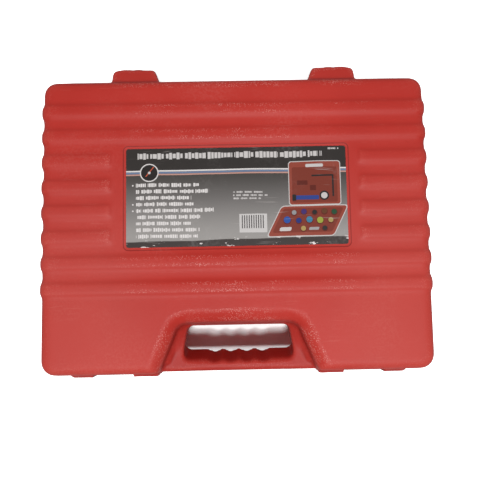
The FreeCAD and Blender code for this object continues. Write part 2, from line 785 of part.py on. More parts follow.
def hose_route(sketch, number):
    """Hose 1 runs round the right of the lid to the tee and hose 2 round the left."""
    if number == 1:
        corners = [(HOSE_1_START, "pump_y"), ("hose_right", "pump_y", "hose_bend"),
                   ("hose_right", "tee_y", "hose_bend"), (HOSE_1_END, "tee_y")]
    else:
        corners = [(HOSE_2_START, "tee_y"), ("hose_left", "tee_y", "hose_bend"), ("hose_left", "hose_end_y")]
    return draw(sketch, corners, closed=False)


def hose_channel(body, number):
    route = hose_route(level_sketch(body, f"hose_{number}_route", "kit_z"), number)
    start, axis_y = (HOSE_1_START, "pump_y") if number == 1 else (HOSE_2_START, "tee_y")
    wide = "(hose_radius + seat_gap)"
    profile = [(f"{axis_y} - {wide}", f"-{OVERSHOOT}"), (f"{axis_y} + {wide}", f"-{OVERSHOOT}"),
               (f"{axis_y} + {wide}", f"kit_z + {wide}", "hose_radius"),
               (f"{axis_y} - {wide}", f"kit_z + {wide}", "hose_radius")]
    sketch = draw(new_sketch(body, f"hose_{number}_groove", "YZ_Plane", start), profile)
    groove = body.newObject("PartDesign::SubtractivePipe", f"hose_{number}_channel")
    groove.Profile = sketch
    groove.Spine = route
    groove.Refine = False
    body.Tip = groove


def pump_wells(body):
    """Fitted wells for the pump, which lies along the hinge side, and for its gauge."""
    handle_end = "(handle_x + handle_radius + seat_gap)"
    travel_end = "handle_x - handle_radius - plunger_travel - travel_gap"
    reach = "(handle_half + seat_gap)"
    well = rectangle(travel_end, handle_end, f"pump_y - {reach}", f"pump_y + {reach}")
    sink(body, "handle_well", lambda s: draw(s, well), "kit_z + handle_radius + seat_gap")
    cap_left = "(barrel_left - end_cap_length/2)"
    cap_right = f"({cap_left} + end_cap_length)"
    channel(body, "stem_channel", "handle_stem_radius", "pump_y", f"{handle_end} - {NUDGE}", cap_left)
    channel(body, "cap_channel", "end_cap_radius", "pump_y",
            f"{cap_left} - seat_gap", f"{cap_right} + seat_gap")
    channel(body, "barrel_channel", "barrel_radius", "pump_y", cap_right, "barrel_right")
    side = "(head_half_width + seat_gap)"
    well = rectangle("barrel_right", "head_right", f"pump_y - {side}", f"pump_y + {side}")
    sink(body, "head_well", lambda s: draw(s, well), "kit_z + head_half_height + seat_gap")
    sink(body, "gauge_well", lambda s: draw_circle(s, "gauge_x", "gauge_y", f"{BOOT_RADIUS} + seat_gap"),
         "gauge_front + gauge_depth + boot_lip")
    channel(body, "gauge_stem_channel", "stem_radius", "gauge_x",
            "gauge_y + gauge_radius", f"pump_y - head_half_width + {NUDGE}", along="y")
    channel(body, "coupler_channel", "sleeve_radius", "pump_y", "head_right", COUPLER_END)


def hose_wells(body):
    """Channels for both hoses, their ferrules, the tee and the spare coupler."""
    channel(body, "ferrule_channel_pump", "ferrule_radius", "pump_y",
            COUPLER_END, f"{COUPLER_END} + ferrule_length")
    low = "tee_x - tee_half"
    high = "tee_x + tee_half"
    channel(body, "tee_channel", "tee_radius", "tee_y", f"{low} - seat_gap", f"{high} + seat_gap")
    channel(body, "branch_channel", "tee_branch_radius", "tee_x",
            "tee_y", "tee_y + tee_branch + seat_gap", along="y")
    reach = "ferrule_length + seat_gap"
    channel(body, "ferrule_channel_right", "ferrule_radius", "tee_y", high, f"{high} + {reach}")
    channel(body, "ferrule_channel_left", "ferrule_radius", "tee_y", f"{low} - ({reach})", low)
    low = f"{HOSE_2_END} - ferrule_length"
    channel(body, "ferrule_channel_end", "ferrule_radius", "hose_left",
            f"{low} - seat_gap", HOSE_2_END, along="y")
    high = f"{HOSE_2_END} + coupler_length + seat_gap"
    channel(body, "socket_channel", "coupler_collar", "hose_left", HOSE_2_END, high, along="y")
    for number in (1, 2):
        hose_channel(body, number)


def lid_shell():
    body = new_body("lid_shell")
    shell_blank(body)
    handle_plate(body)
    shoulder(body)
    hand_hole(body)
    grip_edge(body)
    plate_beads(body)
    for side in (-1, 1):
        latch_bosses(body, side)
        hinge_tab(body, side)
        knuckles(body, side, of_lid=True)
        seat = "latch_width/2 + latch_side_gap + latch_pin_seat"

        def pin_hole(sketch):
            draw_circle(sketch, LATCH_Y, "latch_axis_z", "latch_pin_radius + pin_clearance")
        along_x(body, "Pocket", f"latch_pin_hole_{'right' if side > 0 else 'left'}", pin_hole,
                f"latch_x - ({seat})", f"latch_x + {seat}", side)
    tray(body)
    pump_wells(body)
    hose_wells(body)
    ribs(body)
    label_panel(body)
    return place(body)


def catch(body, side):
    """The bead that a latch's hook snaps under."""
    top = "latch_drop - latch_axis_z - catch_gap"
    crest = f"({LATCH_FLOOR_Y} - catch_height)"
    inside = f"({LATCH_FLOOR_Y} + {NUDGE})"
    foot = f"{top} - catch_land - catch_ramp"
    bead = [(inside, foot), (LATCH_FLOOR_Y, foot), (crest, f"{top} - catch_land"), (crest, top), (inside, top)]
    name = "right" if side > 0 else "left"
    along_x(body, "Pad", f"catch_{name}", lambda s: draw(s, bead),
            "latch_x - catch_width/2", "latch_x + catch_width/2", side)


def feet(body):
    """Four flat pads that carry the case a little clear of the ribs."""
    rear_y = f"({HALF_Y} - shoulder_radius - foot_width/2 - foot_rear_inset)"
    front_y = f"-({HALF_Y} - shoulder_radius - foot_width*2)"
    for place_name, centre_y in (("rear", rear_y), ("front", front_y)):
        for side, name in ((1, "right"), (-1, "left")):
            centre_x = f"({HALF_X} - shoulder_radius*2 - foot_length/2)"
            pad_plan = rectangle(f"{centre_x} - foot_length/2", f"{centre_x} + foot_length/2",
                                 f"{centre_y} - foot_width/2", f"{centre_y} + foot_width/2")
            sketch = level_sketch(body, f"foot_{place_name}_{name}_plan", "half_height")
            draw(sketch, mirrored(pad_plan, side))
            pad(body, f"foot_{place_name}_{name}", sketch, "foot_height", TaperAngle="-foot_draft")


def base_wells(body):
    """Round wells for the test caps, and beds for the two filler adapters."""
    tray(body)

    def cap_circles(sketch):
        for name in CAPS:
            draw_circle(sketch, f"-cap_{name}_x", f"cap_{name}_y", f"cap_{name}_radius + seat_gap")
        draw_circle(sketch, "-short_adapter_x", "short_adapter_y", "short_adapter_radius + seat_gap")
    sink(body, "cap_wells", cap_circles, "well_depth")
    low = "long_adapter_y - long_adapter_length/2 - seat_gap"
    high = "long_adapter_y + long_adapter_length/2 + seat_gap"
    channel(body, "adapter_bed", "long_adapter_radius", "-long_adapter_x", low, high, along="y")
    half_x = "spare_well_length/2"
    half_y = "spare_well_width/2"
    spare = rectangle(f"-spare_well_x - {half_x}", f"-spare_well_x + {half_x}",
                      f"spare_well_y - {half_y}", f"spare_well_y + {half_y}", f"{half_y} - {NUDGE}")
    sink(body, "spare_well", lambda s: draw(s, spare), "spare_well_depth")


def base_shell():
    body = new_body("base_shell")
    shell_blank(body)
    shoulder(body)
    notch = handle_outline("notch_front_half", "notch_rear_half", "notch_rear", "notch_corner")
    sketch = draw(level_sketch(body, "hand_notch_outline", "half_height"), notch)
    pocket(body, "hand_notch", sketch, f"half_height + {OVERSHOOT}", TaperAngle="-side_draft")
    for side in (-1, 1):
        latch_bosses(body, side)
        catch(body, side)
        hinge_tab(body, side)
        knuckles(body, side, of_lid=False)
    base_wells(body)
    ribs(body)
    feet(body)
    return place(body, turn=(FreeCAD.Vector(0, 1, 0), 180))


def label():
    """A printed sheet on its bed in the lid."""
    body = new_body("label")
    low = "rib_group_y - label_depth/2"
    high = "rib_group_y + label_depth/2"
    outline = rectangle("-label_width/2", "label_width/2", low, high, "label_corner")
    pad(body, "sheet", draw(level_sketch(body, "outline", "0"), outline), "label_thickness")
    return place(body, x="label_x", z="half_height - label_recess")


def pin(label_text, radius, length, x, y, z):
    """A round steel pin that lies along x, broken at both ends."""
    body = new_body(label_text)
    half = f"({length})/2"
    profile = [("0", f"-{half}"), (radius, f"-{half}"), (radius, half), ("0", half)]
    revolve(body, "pin", draw(new_sketch(body, "half_section", "XY_Plane"), profile))
    body.Placement = FreeCAD.Placement(FreeCAD.Vector(), FreeCAD.Rotation(FreeCAD.Vector(0, 0, 1), 90))
    return place(body, x, y, z)


def latch(side):
    """A moulded clip that turns on its pin: barrel, plate, hook and a flared thumb lip."""
    name = "right" if side > 0 else "left"
    body = new_body(f"latch_{name}")
    half = "latch_plate/2"
    lip = "-latch_drop - latch_lip"
    hook = f"{half} + latch_hook"
    out = f"-{half} - latch_flare"
    profile = [(f"-{half}", "0"), (f"-{half}", "-latch_drop - latch_lip_start"),
               (out, lip, "latch_lip_round"), (f"{out} + latch_plate", lip),
               (half, "-latch_drop - latch_hook - latch_hook_ramp"), (hook, "-latch_drop - latch_hook_land"),
               (hook, "-latch_drop"), (half, "-latch_drop"), (half, "0")]
    width = "latch_width/2"
    along_x(body, "Pad", "plate", lambda s: draw(s, profile), f"-{width}", width)
    along_x(body, "Pad", "barrel", lambda s: draw_circle(s, "0", "0", "latch_barrel_radius"),
            f"-{width}", width)
    along_x(body, "Pocket", "bore", lambda s: draw_circle(s, "0", "0", "latch_pin_radius + pin_clearance"),
            f"-{width} - {NUDGE}", f"{width} + {NUDGE}")
    groove = rectangle(f"-{half} - {NUDGE}", f"-{half} + latch_panel_depth",
                       "-latch_panel_low", "-latch_panel_high")
    panel = f"({width} - latch_panel_margin)"
    along_x(body, "Pocket", "face_panel", lambda s: draw(s, groove), f"-{panel}", panel)
    return place(body, f"{side}*latch_x", LATCH_Y, "latch_axis_z")


def turned(label_text, corners, x, y, z, direction):
    """A piece turned from its half section, drawn as (radius, distance along its axis)."""
    body = new_body(label_text)
    role = {"x": "XY_Plane", "y": "XY_Plane", "z": "XZ_Plane"}[direction]
    revolve(body, "turned", draw(new_sketch(body, "half_section", role), corners))
    if direction == "x":
        body.Placement = FreeCAD.Placement(FreeCAD.Vector(), FreeCAD.Rotation(FreeCAD.Vector(0, 0, 1), -90))
    return place(body, x, y, z)


def pump():
    """Barrel, screwed end cap, plunger, and the head block that carries the gauge."""
    length = "(barrel_right - barrel_left)"
    tube = [("barrel_bore", "0"), ("barrel_radius", "0"), ("barrel_radius", length), ("barrel_bore", length)]
    turned("pump_barrel", tube, "barrel_left", "pump_y", "kit_z", "x")
    cap_half = "end_cap_length/2"
    cap = [("rod_radius + rod_clearance", f"-{cap_half}"),
           ("end_cap_radius - end_cap_chamfer", f"-{cap_half}"),
           ("end_cap_radius", f"-{cap_half} + end_cap_chamfer"), ("end_cap_radius", cap_half),
           ("barrel_radius + rod_clearance", cap_half), ("barrel_radius + rod_clearance", "0"),
           ("rod_radius + rod_clearance", "0")]
    turned("pump_end_cap", cap, "barrel_left", "pump_y", "kit_z", "x")
    rod_length = "(piston_x - piston_length/2 - handle_x - handle_radius)"
    rod = [("0", "0"), ("rod_radius", "0"), ("rod_radius", rod_length), ("0", rod_length)]
    turned("pump_rod", rod, "handle_x + handle_radius", "pump_y", "kit_z", "x")
    groove = "piston_groove_half"
    root = "piston_radius - piston_groove_depth"
    end = "piston_length/2"
    piston = [("0", f"-{end}"), ("piston_radius", f"-{end}"), ("piston_radius", f"-{groove}"),
              (root, f"-{groove}"), (root, groove), ("piston_radius", groove), ("piston_radius", end), ("0", end)]
    turned("pump_piston", piston, "piston_x", "pump_y", "kit_z", "x")
    pump_handle()
    pump_head()


def pump_handle():
    """A T grip with rounded ends, and the stem that the rod is pinned in."""
    body = new_body("pump_handle")
    end = "handle_half"
    tip = "handle_radius - handle_end_taper"
    grip = [("0", f"-{end}"), (tip, f"-{end}"), ("handle_radius", f"-{end} + handle_end_length"),
            ("handle_radius - handle_waist", "0"), ("handle_radius", f"{end} - handle_end_length"),
            (tip, end), ("0", end)]
    revolve(body, "grip", draw(new_sketch(body, "grip_section", "XY_Plane"), grip))
    stem_end = "(barrel_left - end_cap_length/2 - handle_stop_gap - handle_x)"
    along_x(body, "Pad", "stem", lambda s: draw_circle(s, "0", "0", "handle_stem_radius"), "0", stem_end)
    along_x(body, "Pocket", "rod_socket", lambda s: draw_circle(s, "0", "0", "rod_radius + rod_clearance"),
            "handle_radius", f"{stem_end} + {NUDGE}")
    return place(body, "handle_x", "pump_y", "kit_z")


def pump_head():
    """The block between barrel, gauge and outlet, bored for the release valve."""
    body = new_body("pump_head")
    side = "head_half_width"
    section = rectangle(f"-{side}", side, "-head_half_height", "head_half_height", "head_corner")
    along_x(body, "Pad", "block", lambda s: draw(s, section), "barrel_right", "head_right")
    floor = "(-head_half_height + valve_depth)"
    hole = level_sketch(body, "valve_bore_outline", floor)
    draw_circle(hole, "valve_x", "0", "valve_radius + pin_clearance")
    pocket(body, "valve_bore", hole, f"valve_depth + {OVERSHOOT}")
    return place(body, "0", "pump_y", "kit_z")


def gauge_case():
    """The gauge's metal cup and the stem that screws into the pump's head."""
    body = new_body("gauge_case")
    cup = [("0", DIAL_BACK), (GAUGE_BORE, DIAL_BACK), (GAUGE_BORE, "gauge_front"),
           ("gauge_radius", "gauge_front"), ("gauge_radius", GAUGE_BACK), ("0", GAUGE_BACK)]
    revolve(body, "cup", draw(new_sketch(body, "half_section", "XZ_Plane"), cup))
    root = "gauge_radius - stem_embed"
    neck = draw_circle(new_sketch(body, "stem_outline", "XZ_Plane", f"-({root})"), "0", "kit_z", "stem_radius")
    stem = pad(body, "stem", neck, f"pump_y - head_half_width - gauge_y - ({root})")
    stem.Reversed = True
    hole = level_sketch(body, "post_hole_outline", DIAL_BACK)
    draw_circle(hole, "0", "0", "needle_post + pin_clearance")
    bore = pocket(body, "post_hole", hole, "needle_post_hole")
    bore.Reversed = True
    place(body, "gauge_x", "gauge_y")


def gauge_boot():
    """The rubber boot that is stretched over the gauge, slotted for its stem."""
    body = new_body("gauge_boot")
    bore = "(gauge_radius + rod_clearance)"
    low = "(gauge_front - boot_lip)"
    high = f"({GAUGE_BACK} + boot_lip)"
    rubber = [(f"{bore} - boot_lip", low), (f"{BOOT_RADIUS} - boot_chamfer", low),
              (BOOT_RADIUS, f"{low} + boot_chamfer"), (BOOT_RADIUS, high), (f"{bore} - boot_wall", high),
              (f"{bore} - boot_wall", GAUGE_BACK), (bore, GAUGE_BACK), (bore, "gauge_front"),
              (f"{bore} - boot_lip", "gauge_front")]
    revolve(body, "boot", draw(new_sketch(body, "half_section", "XZ_Plane"), rubber))
    slot = new_sketch(body, "stem_slot_outline", "XZ_Plane", f"-{BOOT_RADIUS} - {OVERSHOOT}")
    draw_circle(slot, "0", "kit_z", "stem_radius + seat_gap")
    cut = pocket(body, "stem_slot", slot, f"boot_wall*2 + {OVERSHOOT}")
    cut.Reversed = True
    place(body, "gauge_x", "gauge_y")


def gauge_face():
    """The dial, the needle on its post, and the clear lens over both."""
    body = new_body("gauge_dial")
    hole = "needle_post + pin_clearance"
    rim = f"{GAUGE_BORE} - pin_clearance"
    disc = [(hole, DIAL_FACE), (rim, DIAL_FACE), (rim, DIAL_BACK), (hole, DIAL_BACK)]
    revolve(body, "disc", draw(new_sketch(body, "half_section", "XZ_Plane"), disc))
    place(body, "gauge_x", "gauge_y")

    body = new_body("gauge_needle")
    start = f"({DIAL_FACE} - needle_gap - needle_thickness)"
    blade = [("-needle_tail_half", "-needle_tail"), ("needle_tail_half", "-needle_tail"),
             ("needle_tip_half", "needle_length"), ("-needle_tip_half", "needle_length")]
    pad(body, "blade", draw(level_sketch(body, "blade_outline", start), blade), "needle_thickness")
    post = draw_circle(level_sketch(body, "post_outline", start), "0", "0", "needle_post")
    pad(body, "post", post, "needle_thickness + needle_gap + dial_thickness + needle_post_seat")
    turn = FreeCAD.Rotation(FreeCAD.Vector(0, 0, 1), size("needle_rest_angle"))
    body.Placement = FreeCAD.Placement(FreeCAD.Vector(), turn)
    place(body, "gauge_x", "gauge_y")

    body = new_body("gauge_lens")
    glass = draw_circle(level_sketch(body, "outline", "gauge_front"), "0", "0", rim)
    pad(body, "lens", glass, "lens_thickness")
    place(body, "gauge_x", "gauge_y")


def release_valve():
    """A brass push button on the head's open side, held out by its spring."""
    face = "(kit_z - head_half_height)"
    body = new_body("release_valve")
    low = f"({face} - valve_proud)"
    shoulder = f"({face} - valve_travel)"
    stem_end = f"({face} + valve_depth - valve_travel - seat_gap)"
    profile = [("0", low), ("valve_head_radius", low), ("valve_head_radius", shoulder),
               ("valve_radius", shoulder), ("valve_radius", stem_end), ("0", stem_end)]
    revolve(body, "button", draw(new_sketch(body, "half_section", "XZ_Plane"), profile))
    return place(body, "valve_x", "pump_y")


def coupler(label_text, x, y, z, direction):
    """A quick coupler with a hexagon-sized flange, a neck for the sleeve and a collar."""
    flange = "coupler_collar_length"
    length = "coupler_length"
    profile = [("0", "0"), ("coupler_collar", "0"), ("coupler_collar", flange), ("coupler_radius", flange),
               ("coupler_radius", f"{length} - {flange}"), ("coupler_collar", f"{length} - {flange}"),
               ("coupler_collar", f"{length} - coupler_chamfer"), ("coupler_collar - coupler_chamfer", length),
               ("0", length)]
    return turned(label_text, profile, x, y, z, direction)


def sleeve():
    """The spring-loaded sleeve that slides back on the pump's coupler."""
    end = "(coupler_length - coupler_collar_length - seat_gap)"
    start = f"({end} - sleeve_length)"
    bore = "(coupler_radius + pin_clearance)"
    profile = [(bore, start), ("sleeve_radius - sleeve_chamfer", start),
               ("sleeve_radius", f"{start} + sleeve_chamfer"), ("sleeve_radius", end), (bore, end)]
    return turned("coupler_sleeve", profile, "head_right", "pump_y", "kit_z", "x")


def hose(number):
    """A rubber hose that lies in its channel from end to end."""
    body = new_body(f"hose_{number}")
    route = hose_route(level_sketch(body, "route", "0"), number)
    start, axis_y = (HOSE_1_START, "pump_y") if number == 1 else (HOSE_2_START, "tee_y")
    section = draw_circle(new_sketch(body, "section", "YZ_Plane", start), axis_y, "0", "hose_radius")
    tube = body.newObject("PartDesign::AdditivePipe", "tube")
    tube.Profile = section
    tube.Spine = route
    body.Tip = tube
    return place(body, z="kit_z")


def ferrule(label_text, x, y, turn):
    """A crimped brass sleeve: the hose's end fills the half that has the wide bore."""
    body = new_body(label_text)
    solid = "(ferrule_length - ferrule_grip)"
    bore = "(hose_radius + ferrule_bore_gap)"
    profile = [("0", "0"), ("ferrule_radius - ferrule_chamfer", "0"), ("ferrule_radius", "ferrule_chamfer"),
               ("ferrule_radius", "ferrule_length"), (bore, "ferrule_length"), (bore, solid), ("0", solid)]
    revolve(body, "ferrule", draw(new_sketch(body, "half_section", "XY_Plane"), profile))
    body.Placement = FreeCAD.Placement(FreeCAD.Vector(), FreeCAD.Rotation(FreeCAD.Vector(0, 0, 1), turn))
    return place(body, x, y, "kit_z")


def tee():
    """The brass T that joins both hoses to the cap or adapter under test."""
    body = new_body("t_connector")
    half = "tee_half"
    nut = f"({half} - tee_nut_length)"
    waist = f"({nut} - tee_chamfer)"
    thin = "tee_radius - tee_nut_step"
    end = "tee_radius - tee_chamfer"
    shoulder = f"({half} - tee_chamfer)"
    run = [("0", f"-{half}"), (end, f"-{half}"), ("tee_radius", f"-{shoulder}"), ("tee_radius", f"-{nut}"),
           (thin, f"-{waist}"), (thin, waist), ("tee_radius", nut), ("tee_radius", shoulder),
           (end, half), ("0", half)]
    revolve(body, "run", draw(new_sketch(body, "run_section", "XY_Plane"), run), axis="V_Axis")
    sketch = draw_circle(new_sketch(body, "branch_outline", "YZ_Plane", "0"), "0", "0", "tee_branch_radius")
    pad(body, "branch", sketch, "tee_branch")
    body.Placement = FreeCAD.Placement(FreeCAD.Vector(), FreeCAD.Rotation(FreeCAD.Vector(0, 0, 1), 90))
    return place(body, "tee_x", "tee_y", "kit_z")


def test_cap(name):
    """A knurled test cap: neck, grip with notches, dished top and a central boss."""
    body = new_body(f"cap_{name}")
    radius = f"cap_{name}_radius"
    neck = f"cap_{name}_neck"
    grip_top = "(cap_neck_height + cap_grip)"
    dish = f"({grip_top} - cap_dish)"
    profile = [("0", "0"), (neck, "0"), (neck, "cap_neck_height"), (radius, "cap_neck_height"),
               (radius, grip_top), ("cap_boss_radius", dish), ("cap_boss_radius", CAP_TOP), ("0", CAP_TOP)]
    revolve(body, "turned", draw(new_sketch(body, "half_section", "XZ_Plane"), profile))
    beyond = f"{radius} + {NUDGE}"
    bite = [(radius, "-cap_notch"), (beyond, "-cap_notch"), (beyond, "cap_notch"), (radius, "cap_notch"),
            (f"{radius} - cap_notch", "0")]
    sketch = draw(level_sketch(body, "notch_outline", grip_top), bite)
    cut = pocket(body, "notch", sketch, f"cap_grip + {NUDGE}")
    ring = body.newObject("PartDesign::PolarPattern", "notches")
    ring.Originals = [cut]
    ring.Axis = own_axis(body, "Z_Axis")
    ring.Angle = 360
    ring.setExpression("Occurrences", bind("cap_notches"))
    body.Tip = ring
    return place(body, f"cap_{name}_x", f"cap_{name}_y", WELL_FLOOR)


def cap_group(label_text, profile_of):
    """One turned piece on every cap, all kept in one node."""
    pieces = []
    for name in CAPS:
        sketch = doc.addObject("Sketcher::SketchObject", f"{label_text}_{name}_section")
        sketch.Placement = FreeCAD.Placement(FreeCAD.Vector(), FreeCAD.Rotation(FreeCAD.Vector(1, 0, 0), 90))
        draw(sketch, profile_of(name))
        piece = doc.addObject("Part::Revolution", f"{label_text}_{name}")
        piece.Source = sketch
        piece.Axis = FreeCAD.Vector(0, 0, 1)
        piece.Solid = True
        piece.setExpression("Placement.Base.x", bind(f"cap_{name}_x"))
        piece.setExpression("Placement.Base.y", bind(f"cap_{name}_y"))
        pieces.append(piece)
    group = doc.addObject("Part::Compound", label_text)
    group.Label = label_text
    group.Links = pieces
    return place(group, z=WELL_FLOOR)


def nipple_profile(name):
    """Half section of the hose nipple, which is the same on every cap."""
    top = f"{CAP_TOP} + nipple_height"
    base_top = f"{CAP_TOP} + nipple_base_height"
    neck_top = f"{CAP_TOP} + nipple_neck_height"
    return [("0", CAP_TOP), ("nipple_base", CAP_TOP), ("nipple_base", base_top), ("nipple_neck", base_top),
            ("nipple_neck", neck_top), ("nipple_head", f"{neck_top} + nipple_flare"),
            ("nipple_head", f"{top} - nipple_dome"), ("0", top)]


def seal_profile(name):
    inner = f"(cap_{name}_neck + pin_clearance)"
    outer = f"(cap_{name}_neck + seal_width)"
    low = "cap_neck_height - seal_thickness"
    return [(inner, low), (outer, low), (outer, "cap_neck_height"), (inner, "cap_neck_height")]


def adapters():
    """Two bright metal filler adapters: one lies on its side, one stands in a round well."""
    radius = "long_adapter_radius"
    half = "long_adapter_length/2"
    thin = f"{radius} - adapter_wall"
    bore = f"{radius} - adapter_wall*2"
    left = f"-{half} + long_adapter_left"
    right = f"{half} - long_adapter_right"
    body = new_body("adapter_long")
    profile = [(bore, f"-{half}"), (radius, f"-{half}"), (radius, left), (thin, left),
               (thin, right), (radius, right), (radius, half), (bore, half)]
    revolve(body, "turned", draw(new_sketch(body, "half_section", "XY_Plane"), profile))
    place(body, "long_adapter_x", "long_adapter_y", "-kit_z")

    radius = "short_adapter_radius"
    thin = f"{radius} - adapter_wall"
    bore = f"{radius} - adapter_wall*2"
    high = "short_adapter_height"
    flange = f"{high} - short_adapter_flange"
    body = new_body("adapter_short")
    profile = [(bore, "0"), (thin, "0"), (thin, flange), (radius, flange), (radius, high), (bore, high)]
    revolve(body, "turned", draw(new_sketch(body, "half_section", "XZ_Plane"), profile))
    place(body, "short_adapter_x", "short_adapter_y", WELL_FLOOR)


def hinge_and_latch_pins():
    hinge_length = "tab_outer - tab_inner_tip - knuckle_gap"
    latch_length = "latch_width + latch_side_gap*2 + latch_pin_seat*2 - knuckle_gap"
    for side, name in ((1, "right"), (-1, "left")):
        middle = f"{side}*(tab_outer + tab_inner_tip)/2"
        pin(f"hinge_pin_{name}", "hinge_pin_radius", hinge_length, middle, HINGE_Y, "0")
        latch(side)
        pin(f"latch_pin_{name}", "latch_pin_radius", latch_length, f"{side}*latch_x", LATCH_Y, "latch_axis_z")


def build():
    """Every sub-part, in the order they would be put together."""
    base_shell()
    lid_shell()
    hinge_and_latch_pins()
    label()
    pump()
    gauge_case()
    gauge_boot()
    gauge_face()
    release_valve()
    coupler("pump_coupler", "head_right", "pump_y", "kit_z", "x")
    sleeve()
    for number in (1, 2):
        hose(number)
    ferrule("ferrule_pump", COUPLER_END, "pump_y", -90)
    ferrule("ferrule_tee_right", "tee_x + tee_half", "tee_y", -90)
    ferrule("ferrule_tee_left", "tee_x - tee_half", "tee_y", 90)
    ferrule("ferrule_end", "hose_left", HOSE_2_END, 180)
    tee()
    coupler("hose_coupler", "hose_left", HOSE_2_END, "kit_z", "y")
    for name in CAPS:
        test_cap(name)
    cap_group("cap_nipples", nipple_profile)
    cap_group("cap_seals", seal_profile)
    adapters()


def export():
    """Check every object, then write one STEP file for each sub-part."""
    doc.recompute()
    for item in doc.Objects:
        if "Invalid" in item.State or "Error" in item.State:
            raise RuntimeError(f"{item.Name} failed: {item.State}")
    parts = [item for item in doc.Objects if item.TypeId in ("PartDesign::Body", "Part::Compound")]
    os.makedirs("parts", exist_ok=True)
    for part in parts:
        if part.Shape.isNull() or not part.Shape.isValid():
            raise RuntimeError(f"{part.Label} has no valid shape")
        part.Shape.exportStep(f"parts/{part.Label}.step")
        print(part.Label, len(part.Shape.Solids), round(part.Shape.Volume / 1000, 2), "cm3")


build()
export()
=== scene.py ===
# %% [markdown]
# # A radiator pressure tester in its moulded carry case
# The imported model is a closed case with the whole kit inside, every piece at its true size
# and place, in metres.

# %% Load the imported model
import math
import bpy
import numpy as np
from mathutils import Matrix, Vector


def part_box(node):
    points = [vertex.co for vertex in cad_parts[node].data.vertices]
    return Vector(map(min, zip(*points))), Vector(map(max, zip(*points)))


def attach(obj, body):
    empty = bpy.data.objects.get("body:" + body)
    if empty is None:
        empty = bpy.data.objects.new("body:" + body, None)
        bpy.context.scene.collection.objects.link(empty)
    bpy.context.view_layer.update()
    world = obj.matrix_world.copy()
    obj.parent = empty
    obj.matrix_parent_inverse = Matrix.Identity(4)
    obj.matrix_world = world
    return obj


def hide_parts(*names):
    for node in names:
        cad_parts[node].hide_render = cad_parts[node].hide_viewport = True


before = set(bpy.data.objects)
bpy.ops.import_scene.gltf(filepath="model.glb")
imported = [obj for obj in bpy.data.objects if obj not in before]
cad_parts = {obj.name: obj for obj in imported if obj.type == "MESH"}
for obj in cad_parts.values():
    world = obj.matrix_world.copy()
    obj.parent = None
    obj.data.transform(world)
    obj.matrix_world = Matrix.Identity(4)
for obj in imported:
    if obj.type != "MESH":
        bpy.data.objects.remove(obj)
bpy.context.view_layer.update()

# %% [markdown]
# A few places steer everything else. The hinge pins lie on the plane where the two halves
# meet, a fixed step behind the rear wall, so measuring them on the frame places both. Only
# that step and the depth between the walls are given.

# %% Measure the frame
MM = 0.001
AXIS_BEHIND = 10 * MM
CASE_DEPTH = 337 * MM


def middle(node):
    """The centre of a node's box."""
    low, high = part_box(node)
    return (Vector(low) + Vector(high)) / 2


PARTING = middle("hinge_pin_left").z
REAR_WALL = middle("hinge_pin_left").y - AXIS_BEHIND
FRONT_WALL = REAR_WALL - CASE_DEPTH
CASE_LOW, CASE_HIGH = (Vector(corner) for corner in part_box("lid_shell"))
LABEL_LOW, LABEL_HIGH = (Vector(corner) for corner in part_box("label"))
LABEL = (LABEL_LOW + LABEL_HIGH) / 2
DIAL = middle("gauge_dial")
print("parting plane", round(PARTING, 5))
print("front wall", round(FRONT_WALL, 5), "rear wall", round(REAR_WALL, 5))

# %% [markdown]
# A colour written as a screen value is an sRGB value, while shaders work in linear light, so
# each colour goes through this small conversion once.

# %% Colour helper
def linear(red, green, blue):
    """Turn a 0-255 screen colour into the linear values that a shader socket wants."""
    def channel(value):
        value = value / 255
        return value / 12.92 if value <= 0.04045 else ((value + 0.055) / 1.055) ** 2.4
    return (channel(red), channel(green), channel(blue), 1.0)


print("mid grey is", round(linear(128, 128, 128)[0], 3), "in linear light")

# %% [markdown]
# Materials are built from nodes. Wiring them by hand is wordy, so these helpers add a node,
# set its options, and either link or set each of its inputs in one call. Noise runs from 0
# to 1 but seldom leaves the middle of that range, so ramps on it start and end there.

# %% Node helpers
NOISE_SPAN = (0.3, 0.7)


def add(tree, kind, inputs=None, **options):
    """Add a node; an input that is given a socket is linked, any other value is set."""
    node = tree.nodes.new(kind)
    for option, value in options.items():
        setattr(node, option, value)
    for socket, value in (inputs or {}).items():
        if isinstance(value, bpy.types.NodeSocket):
            tree.links.new(value, node.inputs[socket])
        else:
            node.inputs[socket].default_value = value
    return node


def maths(tree, operation, first, second=0.0):
    """One sum with one or two values."""
    return add(tree, "ShaderNodeMath", {0: first, 1: second}, operation=operation).outputs[0]


def product(tree, first, *others):
    """Values multiplied one after another, so that all the masks among them must agree."""
    for other in others:
        first = maths(tree, "MULTIPLY", first, other)
    return first


def blend(tree, amount, first, second):
    """Mix two colours by an amount."""
    return add(tree, "ShaderNodeMix", {0: amount, 6: first, 7: second}, data_type="RGBA").outputs[2]


def lay(tree, under, mask, strength, colour):
    """Lay a colour over another one, where a mask has it and at a strength."""
    return blend(tree, maths(tree, "MULTIPLY", mask, strength), under, colour)


def ramp(tree, value, low, high, start=0.0, end=1.0):
    """Map a value from low..high to start..end and stop at both ends, with soft turns."""
    inputs = {0: value, 1: low, 2: high, 3: start, 4: end}
    return add(tree, "ShaderNodeMapRange", inputs, interpolation_type="SMOOTHSTEP").outputs[0]


def axes(tree, vector):
    """The X, Y and Z of a vector."""
    return add(tree, "ShaderNodeSeparateXYZ", {0: vector}).outputs[0:3]


def draw_lot(tree, cells):
    """One random number for each cell of a Voronoi pattern."""
    return add(tree, "ShaderNodeSeparateColor", {0: cells.outputs["Color"]}).outputs[0]


def noise(tree, place, scale, detail=2.0, roughness=0.5):
    inputs = {"Vector": place, "Scale": scale, "Detail": detail, "Roughness": roughness}
    return add(tree, "ShaderNodeTexNoise", inputs).outputs[0]


